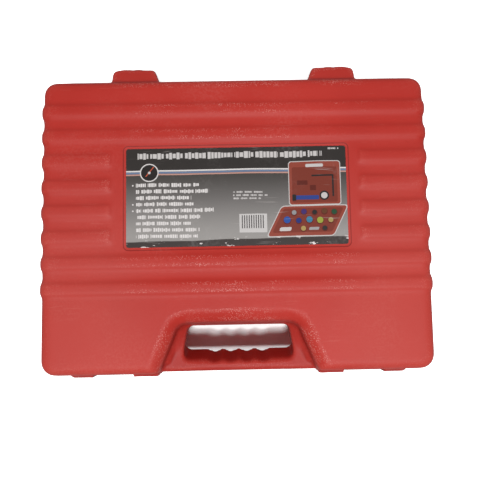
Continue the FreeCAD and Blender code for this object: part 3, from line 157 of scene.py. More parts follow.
def stretched(tree, place, scale, turn=0.0):
    """Coordinates turned about Z and stretched, for marks that run one way."""
    inputs = {"Vector": place, "Rotation": (0, 0, turn), "Scale": scale}
    return add(tree, "ShaderNodeMapping", inputs).outputs[0]


print("noise is used from", NOISE_SPAN[0], "to", NOISE_SPAN[1])

# %% [markdown]
# A finish is one material with a Principled shader, and an effect that several finishes
# share is a node group. These helpers start each of them and connect what every finish has:
# a colour, a roughness and fine bumps.

# %% Material and group helpers
def new_material(name, **values):
    """A material with its shader's plain values set, and its Object coordinates."""
    material = bpy.data.materials.new(name)
    material.use_nodes = True
    tree = material.node_tree
    shader = tree.nodes["Principled BSDF"]
    for socket, value in values.items():
        shader.inputs[socket.replace("_", " ")].default_value = value
    place = add(tree, "ShaderNodeTexCoord").outputs["Object"]
    return material, tree, shader, place


def surface(tree, shader, colour, rough, height, strength, distance):
    """Feed a shader its colour, its roughness and the bumps of its skin."""
    inputs = {"Height": height, "Strength": strength, "Distance": distance}
    bump = add(tree, "ShaderNodeBump", inputs)
    tree.links.new(colour, shader.inputs["Base Color"])
    tree.links.new(rough, shader.inputs["Roughness"])
    tree.links.new(bump.outputs["Normal"], shader.inputs["Normal"])


def new_group(name, inputs, outputs):
    """A shader node group whose inputs are numbers, apart from the vector Place."""
    group = bpy.data.node_groups.new(name, "ShaderNodeTree")
    for label, value in inputs.items():
        kind = "NodeSocketVector" if label == "Place" else "NodeSocketFloat"
        socket = group.interface.new_socket(name=label, in_out="INPUT", socket_type=kind)
        socket.default_value = value
    for label in outputs:
        group.interface.new_socket(name=label, in_out="OUTPUT", socket_type="NodeSocketFloat")
    source = group.nodes.new("NodeGroupInput").outputs
    result = group.nodes.new("NodeGroupOutput").inputs
    return group, source, result


def outputs_of(group):
    """The names of what a group puts out."""
    return [item.name for item in group.interface.items_tree if item.in_out == "OUTPUT"]


def use(tree, group, inputs):
    """Place a node group in a material and return its outputs."""
    return add(tree, "ShaderNodeGroup", inputs, node_tree=group).outputs


print("every material reads Object coordinates, in metres")

# %% [markdown]
# Blow-moulded polyethylene has a fine blasted grain all over, and the light catches a few
# grains as bright specks. One group makes both: a bumpy height and a mask of sparse specks.
# Size is the number of grains in a metre and Share is the part of them that shines.

# %% Grain group
SPECK_EDGE = (0.55, 0.15)


def build_grain():
    inputs = {"Place": (0, 0, 0), "Size": 800.0, "Share": 0.1}
    group, source, result = new_group("moulded_grain", inputs, ("Height", "Speck"))
    bumps = noise(group, source["Place"], source["Size"], detail=3.0, roughness=0.6)
    cells = add(group, "ShaderNodeTexVoronoi", {"Vector": source["Place"], "Scale": source["Size"]})
    shines = maths(group, "LESS_THAN", draw_lot(group, cells), source["Share"])
    dot = ramp(group, cells.outputs["Distance"], *SPECK_EDGE)
    group.links.new(bumps, result["Height"])
    group.links.new(product(group, shines, dot), result["Speck"])
    return group


grain_group = build_grain()
print("outputs:", outputs_of(grain_group))

# %% [markdown]
# Use leaves marks: a film of pale dust in broad patches, and fine scratches that run several
# ways. The second group makes a mask of each, so that every plastic can share them. A
# scratch is noise stretched so far that it becomes a line, on coordinates that a slow noise
# bends a little, and it shows only in patches.

# %% Wear group
SCRATCH_RUNS = ((0.9, 16.0), (-0.6, 24.0), (1.9, 20.0))
SCRATCH_FINENESS = 700.0
SCRATCH_DEPTH = 60.0
SCRATCH_EDGE = (0.71, 0.76)
SCRATCH_PATCHES = (0.5, 0.65)
SCRATCH_BEND = 0.02
DUST_PATCHES = (0.45, 0.75)
DUST_GRAINS = (0.35, 0.7)


def bent_place(group, place):
    """Coordinates that wander by a few millimetres."""
    drift = add(group, "ShaderNodeTexNoise", {"Vector": place, "Scale": 9.0}).outputs["Color"]
    step = {0: drift, "Scale": SCRATCH_BEND}
    drift = add(group, "ShaderNodeVectorMath", step, operation="SCALE").outputs[0]
    return add(group, "ShaderNodeVectorMath", {0: drift, 1: place}, operation="ADD").outputs[0]


def build_wear():
    inputs = {"Place": (0, 0, 0), "Patch": 14.0, "Scratch": 0.5}
    group, source, result = new_group("handling_wear", inputs, ("Dust", "Scratches", "Mottle"))
    broad = noise(group, source["Place"], source["Patch"], detail=4.0, roughness=0.6)
    fine = noise(group, source["Place"], scale=420.0)
    dust = product(group, ramp(group, broad, *DUST_PATCHES), ramp(group, fine, *DUST_GRAINS))
    bent = bent_place(group, source["Place"])
    lines = None
    for turn, reach in SCRATCH_RUNS:
        run = stretched(group, bent, (reach, SCRATCH_FINENESS, SCRATCH_DEPTH), turn)
        streak = ramp(group, noise(group, run, scale=1.0, detail=1.0), *SCRATCH_EDGE)
        lines = streak if lines is None else maths(group, "MAXIMUM", lines, streak)
    patches = ramp(group, noise(group, source["Place"], scale=22.0), *SCRATCH_PATCHES)
    mottle = noise(group, source["Place"], scale=5.0, detail=3.0, roughness=0.55)
    group.links.new(dust, result["Dust"])
    group.links.new(product(group, lines, patches, source["Scratch"]), result["Scratches"])
    group.links.new(mottle, result["Mottle"])
    return group


wear_group = build_wear()
print("outputs:", outputs_of(wear_group))

# %% [markdown]
# ## The moulded shells
# A parison of hot plastic blown into a mould rounds every edge by itself: ribs become soft
# waves and the handle's recess melts into the lid. The CAD shell has the true form with
# crisp edges. Its copy is made one skin of even voxels, and that skin is smoothed in many
# small rounds. The number of rounds follows from how far the edges are to be softened.

# %% How far a shell is relaxed
VOXEL = 1.5 * MM
SKIN_SPREAD = 3.9 * MM
SMOOTH_FACTOR = 0.5
SMOOTH_ROUNDS = round(2 * SKIN_SPREAD ** 2 / (SMOOTH_FACTOR * VOXEL ** 2))
print("voxel", VOXEL, "rounds of smoothing", SMOOTH_ROUNDS)

# %% [markdown]
# Not every place may soften as much. The outer skin gets the full smoothing. Heights count
# from the rim.

# %% Where a shell is relaxed
FULL, HALF, LIGHT, LEAST = 1.0, 0.35, 0.14, 0.05
TRAY_INSET = 14.0 * MM
WELL_REACH = 43.0 * MM
RECESS_HALF = 100.0 * MM
RECESS_DEPTH = 62.0 * MM
BEAD_X = (55.0 * MM, 100.0 * MM)
BEAD_HEIGHTS = (14.0 * MM, 31.0 * MM)
HOLLOW_X = (118.0 * MM, 168.0 * MM)
HOLLOW_DEPTH = 9.0 * MM
HOLLOW_HEIGHT = 38.0 * MM
KNUCKLE_BEHIND = 1.0 * MM
KNUCKLE_REACH = 9.0 * MM
RIM_LAND = 2.0 * MM
BED_MARGIN = 5.0 * MM


def relax_weights(points, side):
    """How strongly each point of a shell is relaxed; side is 1 for the lid, -1 for the base."""
    x, y, z = np.abs(points[:, 0]), points[:, 1], (points[:, 2] - PARTING) * side
    half = (CASE_HIGH.x - CASE_LOW.x) / 2
    outside = (z > WELL_REACH) | (x > half - TRAY_INSET)
    outside |= (y < FRONT_WALL + TRAY_INSET) | (y > REAR_WALL - TRAY_INSET)
    outside |= (x < RECESS_HALF) & (y < FRONT_WALL + RECESS_DEPTH)
    weight = np.where(outside, FULL, LIGHT)
    beads = (x > BEAD_X[0]) & (x < BEAD_X[1]) & (y < FRONT_WALL + RECESS_DEPTH)
    weight[beads & (z > BEAD_HEIGHTS[0]) & (z < BEAD_HEIGHTS[1])] = HALF
    hollow = (x > HOLLOW_X[0]) & (x < HOLLOW_X[1]) & (z < HOLLOW_HEIGHT)
    weight[hollow & (y < FRONT_WALL + HOLLOW_DEPTH)] = LIGHT
    weight[(y > REAR_WALL + KNUCKLE_BEHIND) & (z < KNUCKLE_REACH)] = LEAST
    weight[z < RIM_LAND] = LEAST
    if side > 0:
        bed = (x < LABEL_HIGH.x - LABEL.x + BED_MARGIN) & (z > WELL_REACH)
        bed &= np.abs(y - LABEL.y) < LABEL_HIGH.y - LABEL.y + BED_MARGIN
        weight[bed] = LIGHT
    return weight


print("levels of relaxing", FULL, HALF, LIGHT, LEAST)

# %% [markdown]
# A mould lets go of its part only where the walls slant. So the walls of the handle's recess
# open outwards, and the wall of the hand hole that the fingers wrap round leans forwards.
# Both are made by moving points: each is pushed in proportion to its height over the foot
# of its wall, and the push fades out softly past the wall's ends.

# %% Slant the walls of the recess and the hand hole
PLATE_HEIGHT = 24.0 * MM
PLATE_FRONT_HALF = 89.0 * MM
PLATE_REAR_HALF = 66.0 * MM
PLATE_REAR = 54.5 * MM
RECESS_OPENING = 0.4
RECESS_SIDE_SHARE = 0.75
RECESS_TURN = 14.0 * MM
RECESS_FADE = 28.0 * MM
GRIP_LEAN = 0.5
GRIP_RISE = (3.0 * MM, 25.0 * MM)
GRIP_FALL = (28.0 * MM, 50.0 * MM)
GRIP_ENDS = (64.0 * MM, 75.0 * MM)
GRIP_TOP = 26.0 * MM


def smooth_step(value, low, high):
    """0 below low, 1 above high, and a soft turn between them."""
    share = np.clip((value - low) / (high - low), 0, 1)
    return share * share * (3 - 2 * share)


def open_recess(points):
    """Push the walls of the handle's recess outwards, more with height."""
    behind = points[:, 1] - FRONT_WALL
    rise = points[:, 2] - PARTING - PLATE_HEIGHT
    slant = (PLATE_FRONT_HALF - PLATE_REAR_HALF) / PLATE_REAR
    beside = np.abs(points[:, 0]) - PLATE_FRONT_HALF + slant * behind
    past = behind - PLATE_REAR
    aside = smooth_step(beside, -RECESS_TURN, 0)
    back = smooth_step(past, -RECESS_TURN, 0)
    beyond = np.hypot(np.maximum(beside, 0), np.maximum(past, 0))
    push = RECESS_OPENING * np.maximum(rise, 0) * (1 - smooth_step(beyond, 0, RECESS_FADE))
    push /= np.maximum(np.hypot(aside, back), 1)
    points[:, 0] += RECESS_SIDE_SHARE * push * aside * np.sign(points[:, 0])
    points[:, 1] += push * back


def lean_grip(points):
    """Lean the wall of the hand hole that the fingers wrap round, more with height."""
    behind = points[:, 1] - FRONT_WALL
    share = smooth_step(behind, *GRIP_RISE) * (1 - smooth_step(behind, *GRIP_FALL))
    share *= 1 - smooth_step(np.abs(points[:, 0]), *GRIP_ENDS)
    height = np.abs(points[:, 2] - PARTING)
    share[height > GRIP_TOP] = 0
    points[:, 1] -= GRIP_LEAN * share * height


print("the recess opens by", RECESS_OPENING, "and the grip leans by", GRIP_LEAN, "of the height")

# %% [markdown]
# Grime and a painted shade darken the hollows, and edges wear bright and carry a painted
# highlight, so the material needs to know how the skin bends. Along each edge of the mesh,
# normals that open away from each other mean a crest and normals that close mean a hollow.
# The average at each point, spread to its neighbours a few times, is stored as an attribute
# that the shader reads.

# %% Measure how a surface bends
SPREAD_ROUNDS = 6
SHORTEST_SQUARED = 1e-12
CM_IN_METRE = 100


def ends_total(ends, first_values, second_values, count):
    """Add up, at each point, one value for each edge that ends there."""
    return np.bincount(ends[:, 0], first_values, count) + np.bincount(ends[:, 1], second_values, count)


def store_bend(mesh):
    """Write the bend of the surface, in 1/cm and positive on crests, as attribute bend."""
    count = len(mesh.vertices)
    points = np.empty(count * 3)
    normals = np.empty(count * 3)
    ends = np.empty(len(mesh.edges) * 2, dtype=np.int32)
    mesh.vertices.foreach_get("co", points)
    mesh.vertices.foreach_get("normal", normals)
    mesh.edges.foreach_get("vertices", ends)
    points, normals, ends = points.reshape(-1, 3), normals.reshape(-1, 3), ends.reshape(-1, 2)
    step = points[ends[:, 1]] - points[ends[:, 0]]
    turn = normals[ends[:, 1]] - normals[ends[:, 0]]
    along = (step * turn).sum(1) / np.maximum((step * step).sum(1), SHORTEST_SQUARED) / CM_IN_METRE
    shares = np.maximum(np.bincount(ends.ravel(), minlength=count), 1)
    bend = ends_total(ends, along, along, count) / shares
    for _ in range(SPREAD_ROUNDS):
        around = ends_total(ends, bend[ends[:, 1]], bend[ends[:, 0]], count)
        bend = (bend + around / shares) / 2
    layer = mesh.attributes.new("bend", "FLOAT", "POINT")
    layer.data.foreach_set("value", bend.astype(np.float32))
    return bend


print("the bend is spread", SPREAD_ROUNDS, "times")

# %% [markdown]
# Operators and modifiers act on what is selected, so each piece is selected alone before it
# is worked on. A CAD node's mesh is loose triangles, so a copy of it is merged into one skin
# before anything else is done to it.

# %% Helpers for pieces
MERGE_DISTANCE = 1e-6


def apply_modifier(piece, kind, **settings):
    """Add one modifier, set it, and apply it."""
    modifier = piece.modifiers.new(kind.lower(), kind)
    for name, value in settings.items():
        setattr(modifier, name, value)
    bpy.ops.object.modifier_apply(modifier=modifier.name)


def only(piece):
    """Select one object and nothing else."""
    bpy.ops.object.select_all(action="DESELECT")
    piece.select_set(True)
    bpy.context.view_layer.objects.active = piece


def give(piece, material):
    """Give a piece one finish, in place of any other."""
    piece.data.materials.clear()
    piece.data.materials.append(material)


def merged_copy(node, name):
    """A copy of a CAD node's mesh as one closed skin."""
    piece = bpy.data.objects.new(name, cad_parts[node].data.copy())
    bpy.context.scene.collection.objects.link(piece)
    only(piece)
    bpy.ops.object.mode_set(mode="EDIT")
    bpy.ops.mesh.select_all(action="SELECT")
    bpy.ops.mesh.remove_doubles(threshold=MERGE_DISTANCE)
    bpy.ops.object.mode_set(mode="OBJECT")
    return piece


print("points nearer than", MERGE_DISTANCE, "m are merged")

# %% [markdown]
# Now the tools come together. The levels are set while the points still lie where the CAD
# has them, then the lid's walls are slanted, and then the skin is smoothed by those levels.

# %% Make both shells
MOST_TRIANGLES = 196000


def moulded_shell(node, name, side, body):
    """A shell with its edges rounded as moulding leaves them."""
    piece = merged_copy(node, name)
    apply_modifier(piece, "REMESH", mode="VOXEL", voxel_size=VOXEL)
    points = np.empty((len(piece.data.vertices), 3))
    piece.data.vertices.foreach_get("co", points.ravel())
    weights = relax_weights(points, side)
    if side > 0:
        lean_grip(points)
        open_recess(points)
    piece.data.vertices.foreach_set("co", points.ravel())
    group = piece.vertex_groups.new(name="relax")
    for level in (FULL, HALF, LIGHT, LEAST):
        group.add(np.flatnonzero(weights == level).tolist(), level, "REPLACE")
    apply_modifier(piece, "SMOOTH", factor=SMOOTH_FACTOR, iterations=SMOOTH_ROUNDS, vertex_group="relax")
    piece.vertex_groups.clear()
    triangles = sum(len(face.vertices) - 2 for face in piece.data.polygons)
    if triangles > MOST_TRIANGLES:
        apply_modifier(piece, "DECIMATE", ratio=MOST_TRIANGLES / triangles)
    bpy.ops.object.shade_smooth()
    bend = store_bend(piece.data)
    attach(piece, body)
    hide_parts(node)
    print(name, "faces", len(piece.data.polygons), "bend", round(bend.min(), 2), "to", round(bend.max(), 2))
    return piece


lid = moulded_shell("lid_shell", "moulded_lid", 1, "lid")
base = moulded_shell("base_shell", "moulded_base", -1, "base")

# %% [markdown]
# The latches are small mouldings of the same kind: a barrel round the pin, a plate with a
# sunk panel, and a hook. Their outer side is a little crowned and every edge is soft, so
# each is a copy of its solid, drawn in towards its pin on the outside and then relaxed.

# %% Latches
LATCH_VOXEL = 0.55 * MM
LATCH_CROWN = 0.5
LATCH_ROUNDS = 4


def moulded_latch(side):
    node = f"latch_{side}"
    piece = merged_copy(node, f"moulded_latch_{side}")
    axis_y = middle(f"latch_pin_{side}").y
    for vertex in piece.data.vertices:
        if vertex.co.y < axis_y:
            vertex.co.y = axis_y + (vertex.co.y - axis_y) * LATCH_CROWN
    apply_modifier(piece, "REMESH", mode="VOXEL", voxel_size=LATCH_VOXEL)
    apply_modifier(piece, "SMOOTH", factor=SMOOTH_FACTOR, iterations=LATCH_ROUNDS)
    bpy.ops.object.shade_smooth()
    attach(piece, node)
    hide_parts(node)
    print(piece.name, "faces", len(piece.data.polygons))
    return piece


latches = [moulded_latch(side) for side in ("left", "right")]

# %% [markdown]
# Flat shapes on the lid, such as the sunk bed round the label and later the label's print,
# are all boxes with round corners. One group measures how far a point is from such a box.
# All of them count in millimetres from the label's middle.

# %% Plate group
PRINT_EDGE = 0.15


def build_plate():
    """Mask is 1 inside a box with round corners, and Edge is the distance from its outline."""
    group, source, result = new_group(
        "print_plate", {"X": 0.0, "Y": 0.0, "Centre X": 0.0, "Centre Y": 0.0, "Half Width": 1.0,
                        "Half Height": 1.0, "Corner": 0.5, "Lean": 0.0}, ("Mask", "Edge"))
    down = maths(group, "SUBTRACT", source["Y"], source["Centre Y"])
    across = maths(group, "SUBTRACT", source["X"], source["Centre X"])
    across = maths(group, "SUBTRACT", across, product(group, down, source["Lean"]))
    beyond = []
    for offset, half in ((across, "Half Width"), (down, "Half Height")):
        core = maths(group, "SUBTRACT", source[half], source["Corner"])
        beyond.append(maths(group, "SUBTRACT", maths(group, "ABSOLUTE", offset), core))
    outer = [maths(group, "MAXIMUM", value, 0.0) for value in beyond]
    squares = [product(group, value, value) for value in outer]
    length = maths(group, "SQRT", maths(group, "ADD", *squares))
    inner = maths(group, "MINIMUM", maths(group, "MAXIMUM", *beyond), 0.0)
    reach = maths(group, "SUBTRACT", maths(group, "ADD", length, inner), source["Corner"])
    group.links.new(ramp(group, reach, PRINT_EDGE, -PRINT_EDGE), result["Mask"])
    group.links.new(reach, result["Edge"])
    return group


def from_label(tree, place):
    """Millimetres to the right of the label's middle, up from it and above it."""
    shift = {0: place, 1: tuple(-LABEL)}
    centred = add(tree, "ShaderNodeVectorMath", shift, operation="ADD").outputs[0]
    return [maths(tree, "DIVIDE", value, MM) for value in axes(tree, centred)]


plate_group = build_plate()
print("outputs:", outputs_of(plate_group))

# %% [markdown]
# The label lies in a shallow bed, and a painted shade line darkens the bed's corner all round.
# The line lies where the distance from the bed's outline is near nothing, and only on the
# lid's top.

# %% The bed's corner, with a painted shade line
BED_STEP = 3.0
BED_CORNER = 5.5
BED_LINE = (0.9, 0.2)
BED_HEIGHTS = (-9.0, -5.0)


def bed_corner(tree, place):
    """A painted shade line in the corner of the label's bed."""
    across, up, above = from_label(tree, place)
    half = (LABEL_HIGH - LABEL_LOW) / 2 / MM
    bed = {"X": across, "Y": up, "Half Width": half.x + BED_STEP, "Half Height": half.y + BED_STEP,
           "Corner": BED_CORNER}
    reach = use(tree, plate_group, bed)["Edge"]
    line = ramp(tree, maths(tree, "ABSOLUTE", reach), *BED_LINE)
    return product(tree, line, ramp(tree, above, *BED_HEIGHTS))


print("bed", BED_STEP, "mm round the label")

# %% [markdown]
# Each mark of use, and each painted shade and sheen, has a place where it belongs. The plates
# beside the handle, down in the recess, get a painted shade of deeper red and fewer rubbed
# grains, and the front of the far sides gets a pale film of painted sheen with some dust.
# Grains that hands and shelves rub get painted glints: on crests, in patches, high up and
# near the handle.

# %% Where use has marked the case and where light and shade are painted on it
CREST_BEND = (0.16, 0.7)
HOLLOW_BEND = (-0.15, -0.9)
# Where the recess's plates get a painted shade, and where the far sides get a painted sheen.
SHADE_SHELTER_HEIGHTS = (38 * MM, 30 * MM)
SHADE_SHELTER_Y = (FRONT_WALL + 80 * MM, FRONT_WALL + 60 * MM)
SHEEN_FILM_X = (60 * MM, 160 * MM)
SHEEN_FILM_Y = (110 * MM, -40 * MM)
RUBBED_FROM = (0.08, 0.22)
RUBBED_TO = (1.6, 0.8)
RUBBED_PATCHES = (0.4, 0.6, 0.15, 1.0)
RUBBED_X = (165 * MM, 110 * MM, 0.2, 1.0)
RUBBED_HEIGHTS = (12 * MM, 24 * MM)
SHELTER_SHARE = 0.7


def rubbed_specks(tree, place, speck, bend, beside, level, shelter_and_shade):
    """Painted glints on rubbed grains: on crests, in patches, and fewer of them low down and far out."""
    edges = product(tree, ramp(tree, bend, *RUBBED_FROM), ramp(tree, bend, *RUBBED_TO))
    patches = ramp(tree, noise(tree, place, scale=16.0, detail=3.0), *RUBBED_PATCHES)
    rubbed = product(tree, edges, patches, ramp(tree, beside, *RUBBED_X))
    open_to_hands = maths(tree, "SUBTRACT", 1.0, product(tree, shelter_and_shade, SHELTER_SHARE))
    return product(tree, speck, rubbed, ramp(tree, level, *RUBBED_HEIGHTS), open_to_hands)


print("crests count from a bend of", CREST_BEND[0], "and hollows from", HOLLOW_BEND[0])

# %% [markdown]
# The red is a deep pigment under a satin skin, with a slow mottle from the uneven thickness
# of the wall. What use has done, and painted shade, sheen, highlights and glints, is laid over
# it in thin layers, each through its own mask and at its own strength, and the fine grain
# gives the skin its roughness and its bumps.

# %% Case plastic
CASE_TONES = (linear(184, 46, 37), linear(194, 53, 44))
# Besides real dust, grime, wear and scratches, these colours paint light into the red: shade in the recess,
# in hollows and in the label's bed, sheen on the far sides, highlights on crests and glints on rubbed
# grains.
RECESS_SHADE_RED = linear(150, 26, 20)
DUST_AND_SHEEN_RED = linear(226, 168, 158)
GRIME_AND_SHADE_RED = linear(120, 24, 20)
WORN_AND_HIGHLIGHT_RED = linear(214, 88, 76)
RUBBED_GLINT_RED = linear(238, 172, 162)
BED_SHADE_RED = linear(118, 20, 18)
SCRATCHED_RED = linear(226, 140, 130)


def build_case_red():
    material, tree, shader, place = new_material("case_red", IOR=1.45, Specular_IOR_Level=0.34)
    bend = add(tree, "ShaderNodeAttribute", attribute_name="bend").outputs["Fac"]
    grain = use(tree, grain_group, {"Place": place, "Size": 850.0, "Share": 0.5})
    wear = use(tree, wear_group, {"Place": place, "Patch": 11.0, "Scratch": 0.6})
    x, y, z = axes(tree, place)
    beside = maths(tree, "ABSOLUTE", x)
    level = maths(tree, "ABSOLUTE", maths(tree, "SUBTRACT", z, PARTING))
    shelter_and_shade = product(tree, ramp(tree, level, *SHADE_SHELTER_HEIGHTS), ramp(tree, y, *SHADE_SHELTER_Y))
    sheen_and_dust_film = product(tree, ramp(tree, beside, *SHEEN_FILM_X), ramp(tree, y, *SHEEN_FILM_Y))
    specks = rubbed_specks(tree, place, grain["Speck"], bend, beside, level, shelter_and_shade)
    layers = (
        # painted shade on the plates in the handle's recess
        (shelter_and_shade, 0.38, RECESS_SHADE_RED),
        # painted sheen, with a little dust, on the front of the far sides
        (sheen_and_dust_film, 0.05, DUST_AND_SHEEN_RED),
        # grime and painted shade in hollows
        (ramp(tree, bend, *HOLLOW_BEND), 0.3, GRIME_AND_SHADE_RED),
        # wear and a painted highlight on crests
        (ramp(tree, bend, *CREST_BEND), 0.14, WORN_AND_HIGHLIGHT_RED),
        # painted glints on rubbed grains
        (specks, 0.6, RUBBED_GLINT_RED),
        # painted shade line in the label's bed
        (bed_corner(tree, place), 0.7, BED_SHADE_RED),
        (wear["Dust"], 0.07, DUST_AND_SHEEN_RED),
        (wear["Scratches"], 0.16, SCRATCHED_RED),
    )
    colour = blend(tree, ramp(tree, wear["Mottle"], *NOISE_SPAN), *CASE_TONES)
    for mask, strength, tint in layers:
        colour = lay(tree, colour, mask, strength, tint)
    rough = ramp(tree, grain["Height"], *NOISE_SPAN, start=0.48, end=0.6)
    rough = maths(tree, "ADD", rough, product(tree, wear["Dust"], 0.12))
    surface(tree, shader, colour, rough, grain["Height"], strength=0.35, distance=0.4 * MM)
    return material


case_red = build_case_red()
for shell in (lid, base):
    give(shell, case_red)
print("case plastic on", lid.name, "and", base.name)

# %% [markdown]
# ## The label
# A sticker with a dark header, a grey field that brightens downwards and a dark footer. It
# carries no wording: rows of plain bars stand where print would be, beside a plain drawing
# of the open case. A row of bars has two random patterns along it: wide cells part it into
# words, and narrow ones into strokes of uneven height.

# %% Rows of bars
WORD_SHIFT = 17.3
WORD_GAP = (0.8, 1.3)
STROKE_SHIFT = 7.7
STROKE_GAP = (0.03, 0.2, 0.2, 1.0)
STROKE_HEIGHTS = (0.0, 1.0, 0.34, 0.52)
STROKE_EDGE = 0.25


def drift(group, source, row, width, shift):
    """Steps along a row, each as wide as an input says, and moved on from row to row."""
    steps = maths(group, "DIVIDE", source["X"], source[width])
    return maths(group, "ADD", steps, product(group, row, shift))


def cells_along(group, steps, **options):
    """Random cells along a line."""
    inputs = {"W": steps, "Scale": 1.0}
    return add(group, "ShaderNodeTexVoronoi", inputs, voronoi_dimensions="1D", **options)


def build_bars():
    """Rows of rounded bars of random lengths, like lines of print too far off to read."""
    group, source, result = new_group(
        "print_bars", {"X": 0.0, "Y": 0.0, "Top": 0.0, "Pitch": 7.0, "Rows": 1.0, "Height": 3.0,
                       "Left": 0.0, "Right": 100.0, "Word": 12.0, "Ragged": 20.0, "Stroke": 2.0}, ("Mask",))
    below = maths(group, "DIVIDE", maths(group, "SUBTRACT", source["Top"], source["Y"]), source["Pitch"])
    row = maths(group, "FLOOR", below)
    inside = maths(group, "SUBTRACT", maths(group, "SUBTRACT", below, row), 0.5)
    inside = product(group, maths(group, "ABSOLUTE", inside), source["Pitch"])
    words = cells_along(group, drift(group, source, row, "Word", WORD_SHIFT), feature="DISTANCE_TO_EDGE")
    words = ramp(group, product(group, words.outputs["Distance"], source["Word"]), *WORD_GAP)
    steps = drift(group, source, row, "Stroke", STROKE_SHIFT)
    strokes = cells_along(group, steps, feature="DISTANCE_TO_EDGE")
    ink = ramp(group, strokes.outputs["Distance"], *STROKE_GAP)
    reach = ramp(group, draw_lot(group, cells_along(group, steps)), *STROKE_HEIGHTS)
    reach = product(group, source["Height"], reach)
    tall = ramp(group, maths(group, "SUBTRACT", inside, reach), STROKE_EDGE, -STROKE_EDGE)
    end = add(group, "ShaderNodeTexWhiteNoise", {"W": row}, noise_dimensions="1D").outputs["Value"]
    end = maths(group, "SUBTRACT", source["Right"], product(group, end, source["Ragged"]))
    limits = (maths(group, "GREATER_THAN", source["X"], source["Left"]),
              maths(group, "LESS_THAN", source["X"], end),
              maths(group, "GREATER_THAN", row, -0.5),
              maths(group, "LESS_THAN", row, maths(group, "SUBTRACT", source["Rows"], 0.5)))
    group.links.new(product(group, tall, words, ink, *limits), result["Mask"])
    return group


bars_group = build_bars()
print("outputs:", outputs_of(bars_group))

# %% [markdown]
# The drawing shows the open case from above: a lid with a hose, a pump and a gauge, over a
# slanting tray with a coloured dot for each cap. A pale line runs round both halves, and
# each dot has a dark rim below it. A row is x, y, half width, half height, corner, lean.

# %% The drawing of the open case
BRICK, DEEP_BRICK, SHADE = (150, 72, 58), (128, 58, 46), (100, 42, 34)
PAPER, DARK = (205, 200, 198), (44, 42, 43)
DRAWN_CASE = (
    ((88.0, 13.5, 29.5, 25.5, 3.5), PAPER),
    ((88.0, 13.5, 28.6, 24.6, 3.0), BRICK),
    ((88.0, 11.5, 25.5, 20.5, 2.0), DEEP_BRICK),
    ((88.0, 33.6, 10.0, 1.8, 1.4), PAPER),
    ((78.0, -3.2, 14.5, 2.4, 1.2), (52, 70, 140)),
    ((64.6, -3.2, 2.2, 3.6, 0.8), DARK),
    ((98.5, -1.2, 5.4, 5.4, 5.4), DARK),
    ((98.5, -1.2, 3.6, 3.6, 3.6), PAPER),
    ((108.6, 10.0, 0.9, 12.5, 0.8), DARK),
    ((97.0, 22.0, 12.4, 0.9, 0.8), DARK),
    ((74.0, 14.0, 6.0, 2.6, 0.8), SHADE),
    ((86.0, 8.0, 3.4, 3.0, 0.8), SHADE),
    ((79.0, -29.6, 38.0, 17.6, 4.0, 0.5), PAPER),
    ((79.0, -29.6, 37.0, 16.6, 3.5, 0.5), BRICK),
    ((79.4, -28.8, 33.6, 13.6, 2.5, 0.5), DEEP_BRICK),
)
DRAWN_DOTS = (
    (64.0, -20.0, 2.6, (150, 150, 152)), (75.0, -19.0, 3.0, (70, 50, 112)),
    (87.0, -20.0, 2.6, (46, 44, 44)), (98.0, -19.0, 3.0, (104, 64, 42)),
    (109.0, -20.0, 3.0, (44, 80, 58)), (56.0, -28.0, 3.8, (46, 84, 164)),
    (69.0, -29.0, 3.0, (42, 54, 122)), (81.0, -28.0, 3.5, (62, 128, 160)),
    (93.0, -29.0, 3.5, (158, 166, 66)), (105.0, -29.0, 2.8, (172, 150, 94)),
    (74.0, -38.0, 2.8, (176, 150, 90)), (98.0, -38.0, 2.6, (52, 50, 50)),
)
DRAWN_ADAPTERS = (
    ((54.0, -38.4, 6.5, 2.2, 1.6, 0.3), PAPER),
    ((86.0, -38.4, 5.5, 1.6, 0.8, 0.3), (166, 164, 164)),
)
DOT_RIM = 0.7
DOT_DROP = 0.6


def drawn_shapes():
    """Every shape of the drawing, from the back to the front."""
    shapes = list(DRAWN_CASE)
    for x, y, radius, tint in DRAWN_DOTS:
        rim = radius + DOT_RIM
        shapes.append(((x, y - DOT_DROP, rim, rim, rim), SHADE))
        shapes.append(((x, y, radius, radius, radius), tint))
    return shapes + list(DRAWN_ADAPTERS)


print("shapes in the drawing", len(drawn_shapes()))

# %% [markdown]
# The label's colours go on in layers from the paper up, each a mix by one mask: the field,
# three thin stripes, the bars, a plain round mark, a block of stripes and the drawing. The
# print wavers by a millimetre, as it does on film that was laid by hand.

# %% What is printed
WHITE, PALE = (226, 221, 219), (208, 203, 201)
STRIPES = (
    ((0.0, 30.4, 124.0, 0.8), WHITE),
    ((0.0, 28.3, 124.0, 1.0), (112, 128, 158)),
    ((0.0, 26.2, 124.0, 0.8), (196, 150, 138)),
)
LIST_TOP, LIST_PITCH = 17.6, 7.2
BAR_INPUTS = ("Rows", "Top", "Pitch", "Height", "Left", "Right", "Word", "Ragged", "Stroke")
BARS = (
    ((1.0, 52.0, 9.5, 7.6, -111.0, 97.0, 24.0, 0.0, 4.2), PALE),
    ((1.0, 54.4, 3.0, 2.2, 104.0, 116.0, 14.0, 0.0, 1.8), PALE),
    ((9.0, LIST_TOP, LIST_PITCH, 4.4, -113.0, -26.0, 15.0, 28.0, 2.3), WHITE),
    ((3.0, 6.0, 3.6, 2.0, -4.0, 36.0, 9.0, 10.0, 1.5), PALE),
)
DOTTED_ROWS = (0.5, 3.5, 4.5)
LIST_DOTS = tuple(((-116.5, LIST_TOP - LIST_PITCH * row, 0.9, 0.9, 0.9), WHITE) for row in DOTTED_ROWS)
